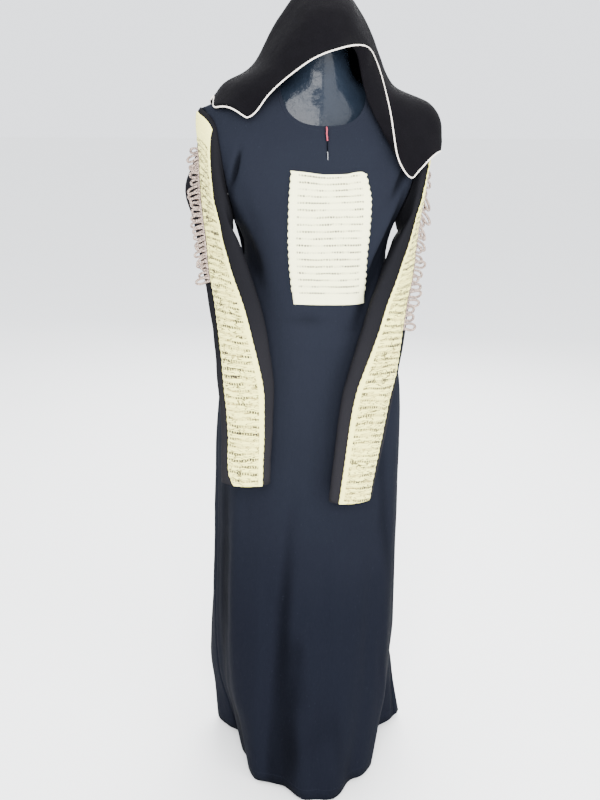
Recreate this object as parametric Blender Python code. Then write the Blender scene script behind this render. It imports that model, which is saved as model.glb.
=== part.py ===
"""A floor-length kaftan with its matching hood, worn by a limbless dress form on a round base.

Metres, +Z up. The floor is z = 0, the form's pole stands on the Z axis and the garment faces -Y.
Left and right are the wearer's, so the right sleeve hangs at -X and the left one at +X.
Cloth is a thin wall: its inner face goes through sections worked out from the tables below,
and its outer face lies one thickness further out.
"""
import math

import bmesh
import bpy
from mathutils import Vector
from mathutils.bvhtree import BVHTree

RIGHT = -1
LEFT = 1
FRONT = -1
BACK = 1

# Cloth
CLOTH = 0.0016
HOOD_CLOTH = 0.0014
PANEL_CLOTH = 0.0012
SEAM_GAP = 0.0004
LAID_GAP = 0.0008

# The cut of the kaftan's body
HEM_HEIGHT = 0.012
NECK_SIDE_X = 0.075
NECK_SIDE_Z = 1.405
SHOULDER_TIP_X = 0.205
SHOULDER_TIP_Z = 1.355
NECK_FRONT_Z = 1.334
NECK_BACK_Z = 1.389
NECK_ROUNDNESS = 2.7
UNDERARM_Z = 1.165
ARMHOLE_DEPTH = 0.047
YOKE_ROWS = 4
NECK_FAN = 1.0
NECK_FAN_REACH = 0.030
SKIRT_ROWS = 14
UNFOLDED_Z = 1.0
SLIT_LENGTH = 0.050
SLIT_WIDTH = 0.0015
NECK_LOOP_RADIUS = 0.0014

# Sections of the kaftan's body: its inner face, from the hem up.
BODY_COLUMNS = ("height", "half_width", "front", "back", "squareness")
BODY = (
    (0.012, 0.150, 0.228, 0.150, 1.95),
    (0.100, 0.166, 0.218, 0.148, 2.00),
    (0.200, 0.183, 0.205, 0.145, 2.10),
    (0.350, 0.186, 0.187, 0.138, 2.20),
    (0.550, 0.183, 0.163, 0.130, 2.30),
    (0.740, 0.180, 0.142, 0.124, 2.30),
    (0.840, 0.173, 0.132, 0.116, 2.30),
    (0.930, 0.151, 0.124, 0.100, 2.30),
    (1.020, 0.132, 0.119, 0.086, 2.30),
    (1.090, 0.133, 0.121, 0.088, 2.30),
    (1.165, 0.150, 0.124, 0.094, 2.30),
    (1.230, 0.176, 0.118, 0.094, 2.25),
    (1.300, 0.197, 0.098, 0.084, 2.05),
    (1.355, 0.205, 0.076, 0.064, 1.75),
    (1.405, 0.075, 0.066, 0.057, 1.75),
)

# Folds of the skirt: each runs from its start down to the hem, where it is this deep.
# The angle is counted from the centre front, towards +X, and a trough has a depth below zero.
FOLD_COLUMNS = ("angle", "spread", "start", "depth")
FOLDS = (
    (-113.0, 15.0, 0.50, 0.046),
    (-84.0, 9.0, 0.34, -0.012),
    (-52.0, 10.0, 0.90, 0.010),
    (-30.0, 8.0, 0.78, -0.009),
    (-12.0, 8.0, 0.86, 0.006),
    (9.0, 9.0, 0.60, 0.012),
    (30.0, 8.0, 0.92, -0.008),
    (50.0, 10.0, 0.82, 0.009),
    (76.0, 8.0, 0.30, -0.012),
    (97.0, 12.0, 0.23, 0.085),
    (133.0, 9.0, 0.70, -0.012),
    (154.0, 10.0, 0.95, 0.014),
    (178.0, 9.0, 0.85, -0.010),
    (-158.0, 10.0, 0.95, 0.014),
    (-137.0, 9.0, 0.75, -0.012),
)

# Armhole and sleeve points, as angles from the shoulder tip round the front to the underarm and back.
ARM_ANGLES = (0, 22, 44, 68, 90, 112, 142, 180, 218, 248, 270, 292, 316, 338)

# Sections of each sleeve from its head to its cuff. x is outwards from the form's axis,
# out and lift lead from a section's centre to its outer line, wide is half of its flat width,
# and turn says how far its outer side has turned towards the front, in degrees.
SLEEVE_COLUMNS = ("x", "y", "z", "out", "lift", "wide", "turn")
RIGHT_SLEEVE = (
    (0.184, -0.004, 1.210, 0.026, 0.070, 0.062, 12.0),
    (0.188, -0.012, 1.180, 0.021, 0.045, 0.061, 17.0),
    (0.181, -0.024, 1.147, 0.021, 0.022, 0.059, 24.0),
    (0.173, -0.042, 1.108, 0.020, 0.008, 0.057, 31.0),
    (0.166, -0.064, 1.068, 0.019, 0.000, 0.055, 40.0),
    (0.158, -0.088, 1.025, 0.019, 0.000, 0.054, 50.0),
    (0.152, -0.107, 0.980, 0.019, 0.000, 0.052, 59.0),
    (0.147, -0.123, 0.935, 0.019, 0.000, 0.050, 67.0),
    (0.144, -0.136, 0.890, 0.019, 0.000, 0.050, 72.0),
    (0.143, -0.145, 0.845, 0.019, 0.000, 0.047, 75.0),
    (0.143, -0.152, 0.800, 0.019, 0.000, 0.045, 77.0),
    (0.145, -0.158, 0.755, 0.019, 0.000, 0.044, 78.0),
    (0.146, -0.163, 0.708, 0.019, 0.000, 0.043, 78.0),
)
LEFT_SLEEVE = (
    (0.183, -0.004, 1.210, 0.025, 0.070, 0.062, 10.0),
    (0.180, -0.013, 1.180, 0.021, 0.045, 0.061, 15.0),
    (0.168, -0.028, 1.147, 0.021, 0.022, 0.060, 22.0),
    (0.155, -0.048, 1.108, 0.020, 0.008, 0.058, 31.0),
    (0.141, -0.073, 1.068, 0.019, 0.000, 0.057, 41.0),
    (0.125, -0.097, 1.025, 0.019, 0.000, 0.056, 50.0),
    (0.112, -0.117, 0.980, 0.019, 0.000, 0.054, 58.0),
    (0.099, -0.133, 0.935, 0.019, 0.000, 0.054, 65.0),
    (0.086, -0.146, 0.890, 0.019, 0.000, 0.054, 70.0),
    (0.075, -0.156, 0.845, 0.019, 0.000, 0.051, 74.0),
    (0.068, -0.163, 0.800, 0.019, 0.000, 0.048, 77.0),
    (0.061, -0.168, 0.750, 0.019, 0.000, 0.045, 78.0),
    (0.054, -0.173, 0.700, 0.019, 0.000, 0.043, 79.0),
    (0.050, -0.175, 0.668, 0.019, 0.000, 0.042, 80.0),
)
HEAD_SHARE = 0.36
HEAD_ROUND = 0.006
RING_KINK = 0.10

# Ribbed panels
RIB_PITCH = 0.0128
RIB_HEIGHT = 0.0014
SLEEVE_PANEL_PLAIN = 0.052
BAND_COLUMNS = (-2, 2)
# How far each band's edges stand in from those columns of the sleeve, at lengths down its outer line.
BAND_OUTER_INSET = {
    RIGHT: ((0.00, 2.00), (0.14, 2.05), (0.18, 1.84), (0.225, 1.58), (0.265, 1.23), (0.305, 0.86),
            (0.345, 0.56), (0.40, 0.30), (0.50, 0.00)),
    LEFT: ((0.00, 0.75), (0.385, 0.75), (0.50, 0.00)),
}
BAND_FRONT_INSET = ((0.17, 0.00), (0.24, 0.35), (0.40, 0.35), (0.52, 0.00))
CHEST_PANEL_Z = (1.030, 1.266)
# How far down the chest panel, with where its sides are there.
CHEST_SIDES = (
    (0.00, -0.0630, 0.0670),
    (0.25, -0.0668, 0.0766),
    (0.45, -0.0672, 0.0755),
    (0.70, -0.0636, 0.0735),
    (1.00, -0.0550, 0.0745),
)
CHEST_STRIPS = 8
CHEST_GAP = 0.0012
SCALLOP = 0.0018

# Loop trim, from the top of the band down; start and end are lengths along it.
LOOP_PITCH = {RIGHT: 0.0105, LEFT: 0.0150}
LOOP_REACH = 0.0165
LOOP_OPENING = {RIGHT: 0.0048, LEFT: 0.0075}
LOOP_DROP = 0.0035
LOOP_CORD = 0.0026
TRIM_WIDTH = 0.0044
TRIM_THICK = 0.0028
TRIM_SPAN = {RIGHT: (0.070, 0.318), LEFT: (0.107, 0.425)}

# Hood. Each station runs from the piped edge over the shoulder or the head to the hem behind.
# crest is the highest or outermost point on the way; width and roll describe the front edge,
# which lies flat at 0 degrees and is turned right back at 180.
HOOD_COLUMNS = ("edge_x", "edge_y", "edge_z", "crest_x", "crest_y", "crest_z", "width", "roll", "lift")
HOOD = (
    (-0.144, -0.074, 1.3535, -0.190, -0.030, 1.359, 0.012, 0.0, 0.048),
    (-0.129, -0.078, 1.3630, -0.180, -0.010, 1.383, 0.012, 0.0, 0.008),
    (-0.115, -0.080, 1.3850, -0.161, 0.004, 1.401, 0.012, 0.0, 0.0),
    (-0.1005, -0.084, 1.3990, -0.134, 0.008, 1.413, 0.012, 0.0, 0.0),
    (-0.082, -0.088, 1.4160, -0.110, 0.008, 1.432, 0.012, 0.0, 0.0),
    (-0.0605, -0.094, 1.4340, -0.098, 0.004, 1.462, 0.012, 0.0, 0.0),
    (-0.035, -0.099, 1.4540, -0.075, 0.000, 1.500, 0.012, 0.0, 0.0),
    (-0.0085, -0.102, 1.4660, -0.042, 0.000, 1.558, 0.012, 0.0, 0.0),
    (0.0205, -0.102, 1.4730, 0.002, 0.000, 1.580, 0.010, 0.0, 0.0),
    (0.041, -0.095, 1.4620, 0.044, 0.000, 1.562, 0.010, 85.0, 0.0),
    (0.051, -0.086, 1.4400, 0.076, 0.000, 1.515, 0.026, 150.0, 0.0),
    (0.056, -0.081, 1.4130, 0.100, 0.004, 1.473, 0.050, 172.0, 0.0),
    (0.063, -0.080, 1.3880, 0.120, 0.008, 1.428, 0.064, 177.0, 0.0),
    (0.074, -0.082, 1.3600, 0.136, 0.008, 1.396, 0.056, 177.0, 0.0),
    (0.088, -0.088, 1.3360, 0.162, 0.006, 1.380, 0.034, 170.0, 0.0),
    (0.099, -0.094, 1.3140, 0.186, 0.002, 1.372, 0.018, 135.0, 0.0),
    (0.111, -0.097, 1.2980, 0.203, 0.000, 1.369, 0.012, 90.0, 0.0),
    (0.125, -0.097, 1.2820, 0.216, -0.010, 1.352, 0.010, 50.0, 0.004),
    (0.150, -0.091, 1.2610, 0.2245, -0.0255, 1.325, 0.012, 15.0, 0.004),
    (0.1645, -0.086, 1.2570, 0.214, -0.0615, 1.2925, 0.012, 0.0, 0.0),
)
HOOD_FLAP_ROWS = 3
HOOD_FRONT_ROWS = 6
HOOD_BACK_ROWS = 8
HOOD_LAYER = 0.0045
HOOD_BACK_X = 0.178
HOOD_BACK_Z = 1.215
HOOD_CLEARANCE = 0.0070
HOOD_HEM_CLEARANCE = 0.0021
HOOD_TIP_CLEARANCE = 0.0145
HOOD_TIP_REACH = 0.085
PIPING_RADIUS = 0.0020
PIPING_GAP = 0.0008

# Dress form: a limbless torso, from its flat underside to the neck's flat top.
FORM_COLUMNS = ("height", "half_width", "front", "back", "squareness")
FORM = (
    (0.700, 0.134, 0.084, 0.084, 2.0),
    (0.712, 0.147, 0.096, 0.094, 2.0),
    (0.790, 0.159, 0.107, 0.104, 2.0),
    (0.870, 0.157, 0.106, 0.098, 2.0),
    (0.950, 0.132, 0.092, 0.079, 2.0),
    (1.015, 0.117, 0.084, 0.070, 2.0),
    (1.080, 0.122, 0.093, 0.074, 2.0),
    (1.160, 0.135, 0.110, 0.082, 2.0),
    (1.225, 0.150, 0.104, 0.082, 2.0),
    (1.285, 0.166, 0.079, 0.068, 1.85),
    (1.322, 0.178, 0.065, 0.057, 1.6),
    (1.343, 0.183, 0.060, 0.051, 1.45),
    (1.3575, 0.178, 0.057, 0.048, 1.35),
    (1.3838, 0.128, 0.056, 0.046, 1.35),
    (1.3985, 0.0740, 0.055, 0.046, 1.7),
    (1.416, 0.0590, 0.052, 0.050, 2.0),
    (1.445, 0.0530, 0.0510, 0.0510, 2.0),
    (1.485, 0.0490, 0.0490, 0.0490, 2.0),
    (1.512, 0.0465, 0.0465, 0.0465, 2.0),
)
FORM_SIDES = 24
CAP_HEIGHT = 0.0440
CAP_RADIUS = 0.0455
CAP_FLAT = 0.010
POLE_RADIUS = 0.0125
BASE_RADIUS = 0.122
BASE_THICK = 0.010
HUB_RADIUS = 0.028
HUB_TOP = 0.036


def smooth_through(places, values, at):
    """Value at one place on a smooth curve through the values, with no overshoot."""
    last = len(places) - 1
    if at <= places[0]:
        return values[0]
    if at >= places[last]:
        return values[last]
    span = next(k for k in range(last) if at <= places[k + 1])
    slopes = [(values[k + 1] - values[k]) / (places[k + 1] - places[k]) for k in range(last)]

    def slope_at(k):
        if k == 0:
            return slopes[0]
        if k == last:
            return slopes[-1]
        if slopes[k - 1] * slopes[k] <= 0.0:
            return 0.0
        return 2.0 * slopes[k - 1] * slopes[k] / (slopes[k - 1] + slopes[k])

    width = places[span + 1] - places[span]
    t = (at - places[span]) / width
    rise = values[span] * (1 + 2 * t) * (1 - t) ** 2 + values[span + 1] * t * t * (3 - 2 * t)
    return rise + width * t * (1 - t) * (slope_at(span) * (1 - t) - slope_at(span + 1) * t)


def body_size(name, height):
    """One column of the body's table at a height; the shoulder line above the tip is straight."""
    column = BODY_COLUMNS.index(name)
    if name == "half_width" and height > SHOULDER_TIP_Z:
        share = (height - SHOULDER_TIP_Z) / (NECK_SIDE_Z - SHOULDER_TIP_Z)
        return SHOULDER_TIP_X + (NECK_SIDE_X - SHOULDER_TIP_X) * share
    rows = [row for row in BODY if name != "half_width" or row[0] <= SHOULDER_TIP_Z]
    return smooth_through([row[0] for row in rows], [row[column] for row in rows], height)


def depth_at(x, height, face, spare=0.0):
    """How far the body reaches to the front or back of the axis, at a distance from its middle."""
    half_width = body_size("half_width", height) + spare
    depth = body_size("front" if face == FRONT else "back", height) + spare
    square = body_size("squareness", height)
    share = min(abs(x) / half_width, 1.0)
    return depth * (1.0 - share ** square) ** (1.0 / square)


def width_at(y, height):
    """Half the body's width at a distance to the front (y below zero) or back."""
    depth = body_size("front" if y < 0 else "back", height)
    square = body_size("squareness", height)
    share = min(abs(y) / depth, 1.0)
    return body_size("half_width", height) * (1.0 - share ** square) ** (1.0 / square)


def fold_depth(angle, height):
    """How far the skirt's folds stand out or in, at an angle from the centre front."""
    total = 0.0
    for centre, spread, start, depth in FOLDS:
        if height >= start:
            continue
        away = (angle - centre + 180.0) % 360.0 - 180.0
        down = (start - height) / (start - HEM_HEIGHT)
        total += depth * down ** 1.1 * math.exp(-((away / spread) ** 2))
    return total


def turn_at(x, height):
    """How far round from the centre front or back a place is, from 0 to the side seam at 90."""
    share = min(x / body_size("half_width", height), 1.0)
    return math.degrees(math.asin(share ** (body_size("squareness", height) / 2.0)))


def body_point(turn, height, side, face):
    """A point of the body's inner face, with the skirt's folds."""
    power = 2.0 / body_size("squareness", height)
    x = body_size("half_width", height) * math.sin(math.radians(turn)) ** power
    depth = body_size("front" if face == FRONT else "back", height)
    y = face * depth * max(math.cos(math.radians(turn)), 0.0) ** power
    if turn > 89.999:
        y = 0.0
    angle = side * (turn if face == FRONT else 180.0 - turn)
    out = Vector((side * x, y, 0.0)).normalized()
    return Vector((side * x, y, height)) + out * fold_depth(angle, height)


def body_normal(point, face):
    """The direction straight out of the body, where it has no folds."""
    depth = "front" if face == FRONT else "back"
    step = 0.0015

    def level(x, y, z):
        square = body_size("squareness", z)
        across = abs(x) / body_size("half_width", z)
        return across ** square + (abs(y) / body_size(depth, z)) ** square

    x, y, z = point
    return Vector((level(x + step, y, z) - level(x - step, y, z),
                   level(x, y + step, z) - level(x, y - step, z),
                   level(x, y, z + step) - level(x, y, z - step))).normalized()


def armhole_point(angle, side):
    """A point of the armhole, from the shoulder tip round the front to the underarm and back."""
    turn = math.radians(angle)
    middle = (SHOULDER_TIP_Z + UNDERARM_Z) / 2.0
    height = middle + (SHOULDER_TIP_Z - UNDERARM_Z) / 2.0 * math.cos(turn)
    y = -ARMHOLE_DEPTH * math.sin(turn)
    return Vector((side * width_at(y, height), y, height))


def top_edge(face, neck_turns, shoulder_steps):
    """Half of a panel's top edge, from its centre to the shoulder tip, as (x, z) pairs."""
    dip = NECK_SIDE_Z - (NECK_FRONT_Z if face == FRONT else NECK_BACK_Z)
    points = []
    for turn in neck_turns:
        across = math.sin(math.radians(turn)) ** (2.0 / NECK_ROUNDNESS)
        down = math.cos(math.radians(turn)) ** (2.0 / NECK_ROUNDNESS)
        points.append((NECK_SIDE_X * across, NECK_SIDE_Z - dip * down))
    for step in range(1, shoulder_steps + 1):
        share = step / shoulder_steps
        points.append((NECK_SIDE_X + (SHOULDER_TIP_X - NECK_SIDE_X) * share,
                       NECK_SIDE_Z + (SHOULDER_TIP_Z - NECK_SIDE_Z) * share))
    return points


def row_ends(face):
    """Where each row of a panel ends, as (height, turn): down the armhole, then down the side seam."""
    angles = [angle for angle in ARM_ANGLES if angle <= 180]
    if face == BACK:
        angles = [0] + [angle for angle in reversed(ARM_ANGLES) if angle >= 180]
    ends = []
    for angle in angles:
        point = armhole_point(angle, LEFT)
        on_seam = angle in (0, 180)
        ends.append((point.z, 90.0 if on_seam else turn_at(point.x, point.z)))
    for row in range(1, SKIRT_ROWS + 1):
        ends.append((UNDERARM_Z + (HEM_HEIGHT - UNDERARM_Z) * row / SKIRT_ROWS, 90.0))
    return ends


def panel_grid(face, neck_turns, shoulder_steps):
    """The inner face of the front or back: rows from the neck and shoulders down to the hem.

    The first rows settle from the line of the neck and shoulders to level rows.
    """
    top = top_edge(face, neck_turns, shoulder_steps)
    ends = row_ends(face)
    last = len(top) - 1
    neck_steps = len(neck_turns) - 1

    def column(index, side):
        top_x, top_z = top[index]
        fan = NECK_FAN * min(index / neck_steps, (last - index) / shoulder_steps) ** 2
        points = []
        for row, (level, end_turn) in enumerate(ends):
            unsettled = max(1.0 - (row / YOKE_ROWS) ** 1.7, 0.0)
            height = level + (top_z - SHOULDER_TIP_Z) * unsettled
            reach = top_x + fan * min(top_z - height, NECK_FAN_REACH)
            even = end_turn * index / last
            turn = even + (turn_at(reach, height) - even) * unsettled
            if index == last:
                turn = end_turn
            points.append(body_point(turn, height, side, face))
        return points

    columns = [column(index, RIGHT) for index in range(last, 0, -1)]
    columns += [column(index, LEFT) for index in range(last + 1)]
    return [list(points) for points in zip(*columns)], last


def grid_normals(grid, closed, outwards):
    """A unit vector off the surface at each point of a grid, all on the side most of outwards is on."""
    rows = len(grid)
    count = len(grid[0])
    normals = [[Vector() for _ in row] for row in grid]
    for r in range(rows - 1):
        for c in range(count if closed else count - 1):
            d = (c + 1) % count
            face = (grid[r + 1][d] - grid[r][c]).cross(grid[r][d] - grid[r + 1][c])
            for i, j in ((r, c), (r, d), (r + 1, d), (r + 1, c)):
                normals[i][j] += face
    side = sum(normal.dot(outwards(r, c, grid[r][c]))
               for r, line in enumerate(normals) for c, normal in enumerate(line))
    return [[(normal if side > 0.0 else -normal).normalized() for normal in line] for line in normals]


def surface_of(walls):
    """Some outer faces as one surface with its triangles facing out; each is (grid, normals, closed)."""
    points = []
    triangles = []
    for grid, normals, closed in walls:
        first = len(points)
        columns = len(grid[0])
        points += [point for row in grid for point in row]
        for r in range(len(grid) - 1):
            for c in range(columns if closed else columns - 1):
                d = (c + 1) % columns
                corners = [(r, c), (r, d), (r + 1, d), (r + 1, c)]
                far = [grid[i][j] for i, j in corners]
                out = sum((normals[i][j] for i, j in corners), Vector())
                if (far[0] + far[2] - far[1] - far[3]).dot(out) > 0.0:
                    corners = corners[1:] + corners[:1]
                for three in ((0, 1, 2), (0, 2, 3)):
                    ring = [corners[k] for k in three]
                    a, b, c3 = [grid[i][j] for i, j in ring]
                    if (b - a).cross(c3 - a).dot(out) < 0.0:
                        ring.reverse()
                    triangles.append([first + i * columns + j for i, j in ring])
    return BVHTree.FromPolygons(points, triangles)


def make_material(name, colour, roughness, metallic=0.0):
    """A Principled material of one finish."""
    material = bpy.data.materials.new(name)
    material.use_nodes = True
    shader = material.node_tree.nodes["Principled BSDF"]
    shader.inputs["Base Color"].default_value = (*colour, 1.0)
    shader.inputs["Roughness"].default_value = roughness
    shader.inputs["Metallic"].default_value = metallic
    material.diffuse_color = (*colour, 1.0)
    return material


def add_object(name, mesh_data, material, smooth_angle=40.0):
    """Turn a closed bmesh into an object of the scene, with its faces out."""
    bmesh.ops.recalc_face_normals(mesh_data, faces=mesh_data.faces)
    if mesh_data.calc_volume(signed=True) < 0.0:
        bmesh.ops.reverse_faces(mesh_data, faces=mesh_data.faces)
    mesh = bpy.data.meshes.new(name)
    mesh_data.to_mesh(mesh)
    mesh_data.free()
    mesh.materials.append(material)
    mesh.shade_smooth()
    mesh.set_sharp_from_angle(angle=math.radians(smooth_angle))
    piece = bpy.data.objects.new(name, mesh)
    bpy.context.scene.collection.objects.link(piece)
    return piece


def wall_object(name, inner, outer, material, closed=False):
    """A closed wall between two grids of the same size; a closed grid is a tube open at both ends.

    Each square is split along its lower diagonal, so what is laid across it stays clear of it.
    """
    data = bmesh.new()
    inside = [[data.verts.new(point) for point in row] for row in inner]
    outside = [[data.verts.new(point) for point in row] for row in outer]
    rows = len(inside)
    columns = len(inside[0])
    steps = columns if closed else columns - 1
    for r in range(rows - 1):
        for c in range(steps):
            d = (c + 1) % columns
            corners = ((r, c), (r, d), (r + 1, d), (r + 1, c))
            far = [outer[i][j] for i, j in corners]
            out = sum((outer[i][j] - inner[i][j] for i, j in corners), Vector())
            if (far[0] + far[2] - far[1] - far[3]).dot(out) > 0.0:
                corners = corners[1:] + corners[:1]
            for three in ((0, 1, 2), (0, 2, 3)):
                data.faces.new([inside[corners[k][0]][corners[k][1]] for k in three])
                data.faces.new([outside[corners[k][0]][corners[k][1]] for k in reversed(three)])
    for r in (0, rows - 1):
        for c in range(steps):
            d = (c + 1) % columns
            data.faces.new((inside[r][c], outside[r][c], outside[r][d], inside[r][d]))
    if not closed:
        for c in (0, columns - 1):
            for r in range(rows - 1):
                data.faces.new((inside[r][c], inside[r + 1][c], outside[r + 1][c], outside[r][c]))
    return add_object(name, data, material)


def offset_grid(grid, normals, distance):
    """The same grid, moved out along its normals; distance is a number or a function of row, column."""
    far = distance if callable(distance) else (lambda r, c: distance)
    return [[point + normals[r][c] * far(r, c) for c, point in enumerate(row)]
            for r, row in enumerate(grid)]


def make_body_panel(name, face, neck_turns, shoulder_steps, material):
    """The kaftan's front or back, with the seams' half gaps; returns its edge at the armholes too."""
    grid, half = panel_grid(face, neck_turns, shoulder_steps)
    underarm = len(grid) - 1 - SKIRT_ROWS

    def on_seam(r, c):
        step = abs(c - half)
        return (step == half and (r == 0 or r >= underarm)) or (r == 0 and step >= len(neck_turns) - 1)

    normals = grid_normals(grid, False, lambda r, c, point: Vector((point.x, point.y, 0.02)))
    for r, row in enumerate(grid):
        for c, point in enumerate(row):
            if point.z > UNFOLDED_Z:
                normals[r][c] = body_normal(point, face)
            if on_seam(r, c):
                normals[r][c].y = 0.0
                normals[r][c].normalize()
                point.y += face * SEAM_GAP / 2.0
    outer = offset_grid(grid, normals, CLOTH)
    piece = wall_object(name, grid, outer, material)
    edges = {}
    for side in (RIGHT, LEFT):
        for r in range(underarm + 1):
            edges[(side, round(grid[r][half + side * half].z, 5))] = normals[r][half + side * half].copy()
    return piece, (outer, normals, False), edges


def make_slit(front, cutter_material):
    """Cut the short centre-front slit below the neckline."""
    data = bmesh.new()
    bmesh.ops.create_cube(data, size=1.0)
    size = Vector((SLIT_WIDTH, 0.06, SLIT_LENGTH * 2.0))
    bmesh.ops.scale(data, vec=size, verts=data.verts)
    bmesh.ops.translate(data, vec=(0.0, -0.09, NECK_FRONT_Z), verts=data.verts)
    cutter = add_object("slit_cutter", data, cutter_material)
    cutter.hide_render = True
    cutter.display_type = "WIRE"
    cut = front.modifiers.new("slit", "BOOLEAN")
    cut.operation = "DIFFERENCE"
    cut.object = cutter


def sleeve_grid(table, side, edges):
    """The inner face of a sleeve, ring by ring, from just outside the armhole to the cuff."""
    head = []
    seams = []
    for angle in ARM_ANGLES:
        point = armhole_point(angle, side)
        normal = edges[(side, round(point.z, 5), angle > 180)]
        head.append(point + normal * (CLOTH + SEAM_GAP * 2.0))
        seams.append(normal)
    rings = [head]
    for x, y, z, out, lift, wide, turn in table:
        tau = math.radians(turn)
        centre = Vector((side * x, y, z))
        outer = Vector((side * out * math.cos(tau), -out * math.sin(tau), lift))
        front = Vector((-side * wide * math.sin(tau), -wide * math.cos(tau), 0.0))
        ring = []
        for angle in ARM_ANGLES:
            phi = math.radians(angle)
            ring.append(centre + outer * math.cos(phi) + front * math.sin(phi))
        rings.append(ring)
    shoulder = []
    for point, target in zip(rings[0], rings[1]):
        height_share = (point.z - UNDERARM_Z) / (SHOULDER_TIP_Z - UNDERARM_Z)
        rounding = Vector((side * HEAD_ROUND, 0.0, HEAD_ROUND)) * height_share
        shoulder.append(point.lerp(target, HEAD_SHARE) + rounding)
    rings.insert(1, shoulder)
    return rings, seams


def sleeve_normals(rings, seams):
    """Which way the wall of a sleeve lies at each point; at the armhole it may not lean inwards."""
    centres = [sum(ring, Vector()) / len(ring) for ring in rings]
    lines = grid_normals(rings, True, lambda r, c, point: point - centres[r])
    for c, seam in enumerate(seams):
        inward = min(lines[0][c].dot(seam), 0.0)
        lines[0][c] = (lines[0][c] - seam * inward).normalized()
    return lines


def make_sleeve(name, table, side, edges, material):
    """One set-in sleeve; returns its outer face and normals for what is laid on it."""
    rings, seams = sleeve_grid(table, side, edges)
    normals = sleeve_normals(rings, seams)
    outer = offset_grid(rings, normals, CLOTH)
    wall_object(name, rings, outer, material, closed=True)
    return outer, normals


def laid_strip(outer, normals, positions, first, last, spacing_rows, kink=9.0):
    """Points of a strip on a sleeve's outer face, at lengths measured down its outermost line.

    positions gives, for a length, where the strip's columns lie among the sleeve's columns.
    Where the sleeve bends at a ring by more than the kink, the nearest row is moved onto that ring.
    """
    lengths = [0.0]
    for r in range(1, len(outer)):
        lengths.append(lengths[-1] + (outer[r][0] - outer[r - 1][0]).length)
    places = spacing_rows(first, min(last, lengths[-1]))
    for r in range(1, len(outer) - 1):
        before = outer[r][0] - outer[r - 1][0]
        after = outer[r + 1][0] - outer[r][0]
        nearest = min(range(1, len(places) - 1), key=lambda k: abs(places[k] - lengths[r]))
        if first < lengths[r] < places[-1] and before.angle(after) > kink:
            places[nearest] = lengths[r]

    def between(grid, r, share, position):
        c = math.floor(position)
        part = position - c
        upper = grid[r][c].lerp(grid[r][c + 1], part)
        lower = grid[r + 1][c].lerp(grid[r + 1][c + 1], part)
        return upper.lerp(lower, share)

    points = []
    directions = []
    for length in places:
        r = next(k for k in range(len(lengths) - 1) if length <= lengths[k + 1] + 1e-9)
        share = (length - lengths[r]) / (lengths[r + 1] - lengths[r])
        line = positions(length)
        points.append([between(outer, r, share, position) for position in line])
        directions.append([between(normals, r, share, position).normalized() for position in line])
    return points, directions


def inset_at(table, length):
    """How far an edge of a band stands in at a length, in columns of the sleeve."""
    return smooth_through([row[0] for row in table], [row[1] for row in table], length)


def band_columns(side):
    """Where a band's columns lie for each length: on the sleeve's own, inside the band's two edges."""
    first, last = BAND_COLUMNS

    def columns(length):
        start = first + inset_at(BAND_OUTER_INSET[side], length)
        end = last - inset_at(BAND_FRONT_INSET, length)
        inner = [max(float(column), start + 0.25 * (column - first)) for column in range(first, last)]
        return inner + [end]

    return columns


def rib_rows(plain_end):
    """Lengths of the rows of a ribbed band: a few on its plain top, then two for each rib."""
    def rows(first, last):
        lengths = [first, (first + plain_end) / 2.0]
        ribs = int(round((last - plain_end) / RIB_PITCH))
        for step in range(2 * ribs + 1):
            lengths.append(plain_end + (last - plain_end) * step / (2 * ribs))
        return lengths
    return rows


def make_sleeve_panel(name, outer, normals, side, material):
    """The cream ribbed band on the outer side of a sleeve, from the shoulder to the cuff."""
    points, directions = laid_strip(outer, normals, band_columns(side), 0.010, 9.0,
                                    rib_rows(SLEEVE_PANEL_PLAIN), RING_KINK)
    inner = offset_grid(points, directions, LAID_GAP)
    last = len(points) - 1

    def thickness(r, c):
        ridge = r > 2 and r < last and r % 2 == 1
        return PANEL_CLOTH + (RIB_HEIGHT if ridge else 0.0)

    face = offset_grid(inner, directions, thickness)
    wall_object(name, inner, face, material)
    return face, directions, False


def make_loop_trim(name, outer, normals, side, material, guide_material):
    """Loops of round cord along the outer edge of a band, their roots fused into a narrow strip."""
    first, last = TRIM_SPAN[side]
    pitch = LOOP_PITCH[side]
    opening = LOOP_OPENING[side]
    count = int((last - first) / pitch)

    def even_rows(start, end):
        return [start + (end - start) * step / count for step in range(count + 1)]

    def at_edge(length):
        edge = BAND_COLUMNS[0] + inset_at(BAND_OUTER_INSET[side], length)
        return [edge - 1.0, edge]

    points, directions = laid_strip(outer, normals, at_edge, first, last, even_rows)
    inner = []
    face = []
    roots = []
    for line, normal_line in zip(points, directions):
        edge = line[1]
        back = (line[0] - line[1]).normalized()
        normal = normal_line[1]
        near = edge + back * 0.0012 + normal * LAID_GAP * 2.0
        far = near + back * TRIM_WIDTH
        inner.append([near, far])
        face.append([near + normal * TRIM_THICK, far + normal * TRIM_THICK])
        roots.append((near.lerp(far, 0.5) + normal * TRIM_THICK * 0.5, back, normal))
    strip = wall_object(name, inner, face, material)

    loops = bmesh.new()
    for (root, back, normal), (following, _, _) in zip(roots[:-1], roots[1:]):
        down = (following - root).normalized()
        start = root + down * (pitch - opening) / 2.0
        away = (normal * 0.75 + back * 0.65).normalized()
        sag = Vector((0.0, 0.0, -LOOP_DROP))
        path = (
            start,
            start + away * LOOP_REACH + sag * 0.6,
            start + away * LOOP_REACH + down * opening + sag,
            start + down * opening,
        )
        add_cord(loops, path, LOOP_CORD / 2.0, 3)
    cords = add_object(name + "_cords", loops, guide_material)
    cords.hide_render = True
    cords.display_type = "WIRE"
    fuse = strip.modifiers.new("fuse", "BOOLEAN")
    fuse.operation = "UNION"
    fuse.object = cords


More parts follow.
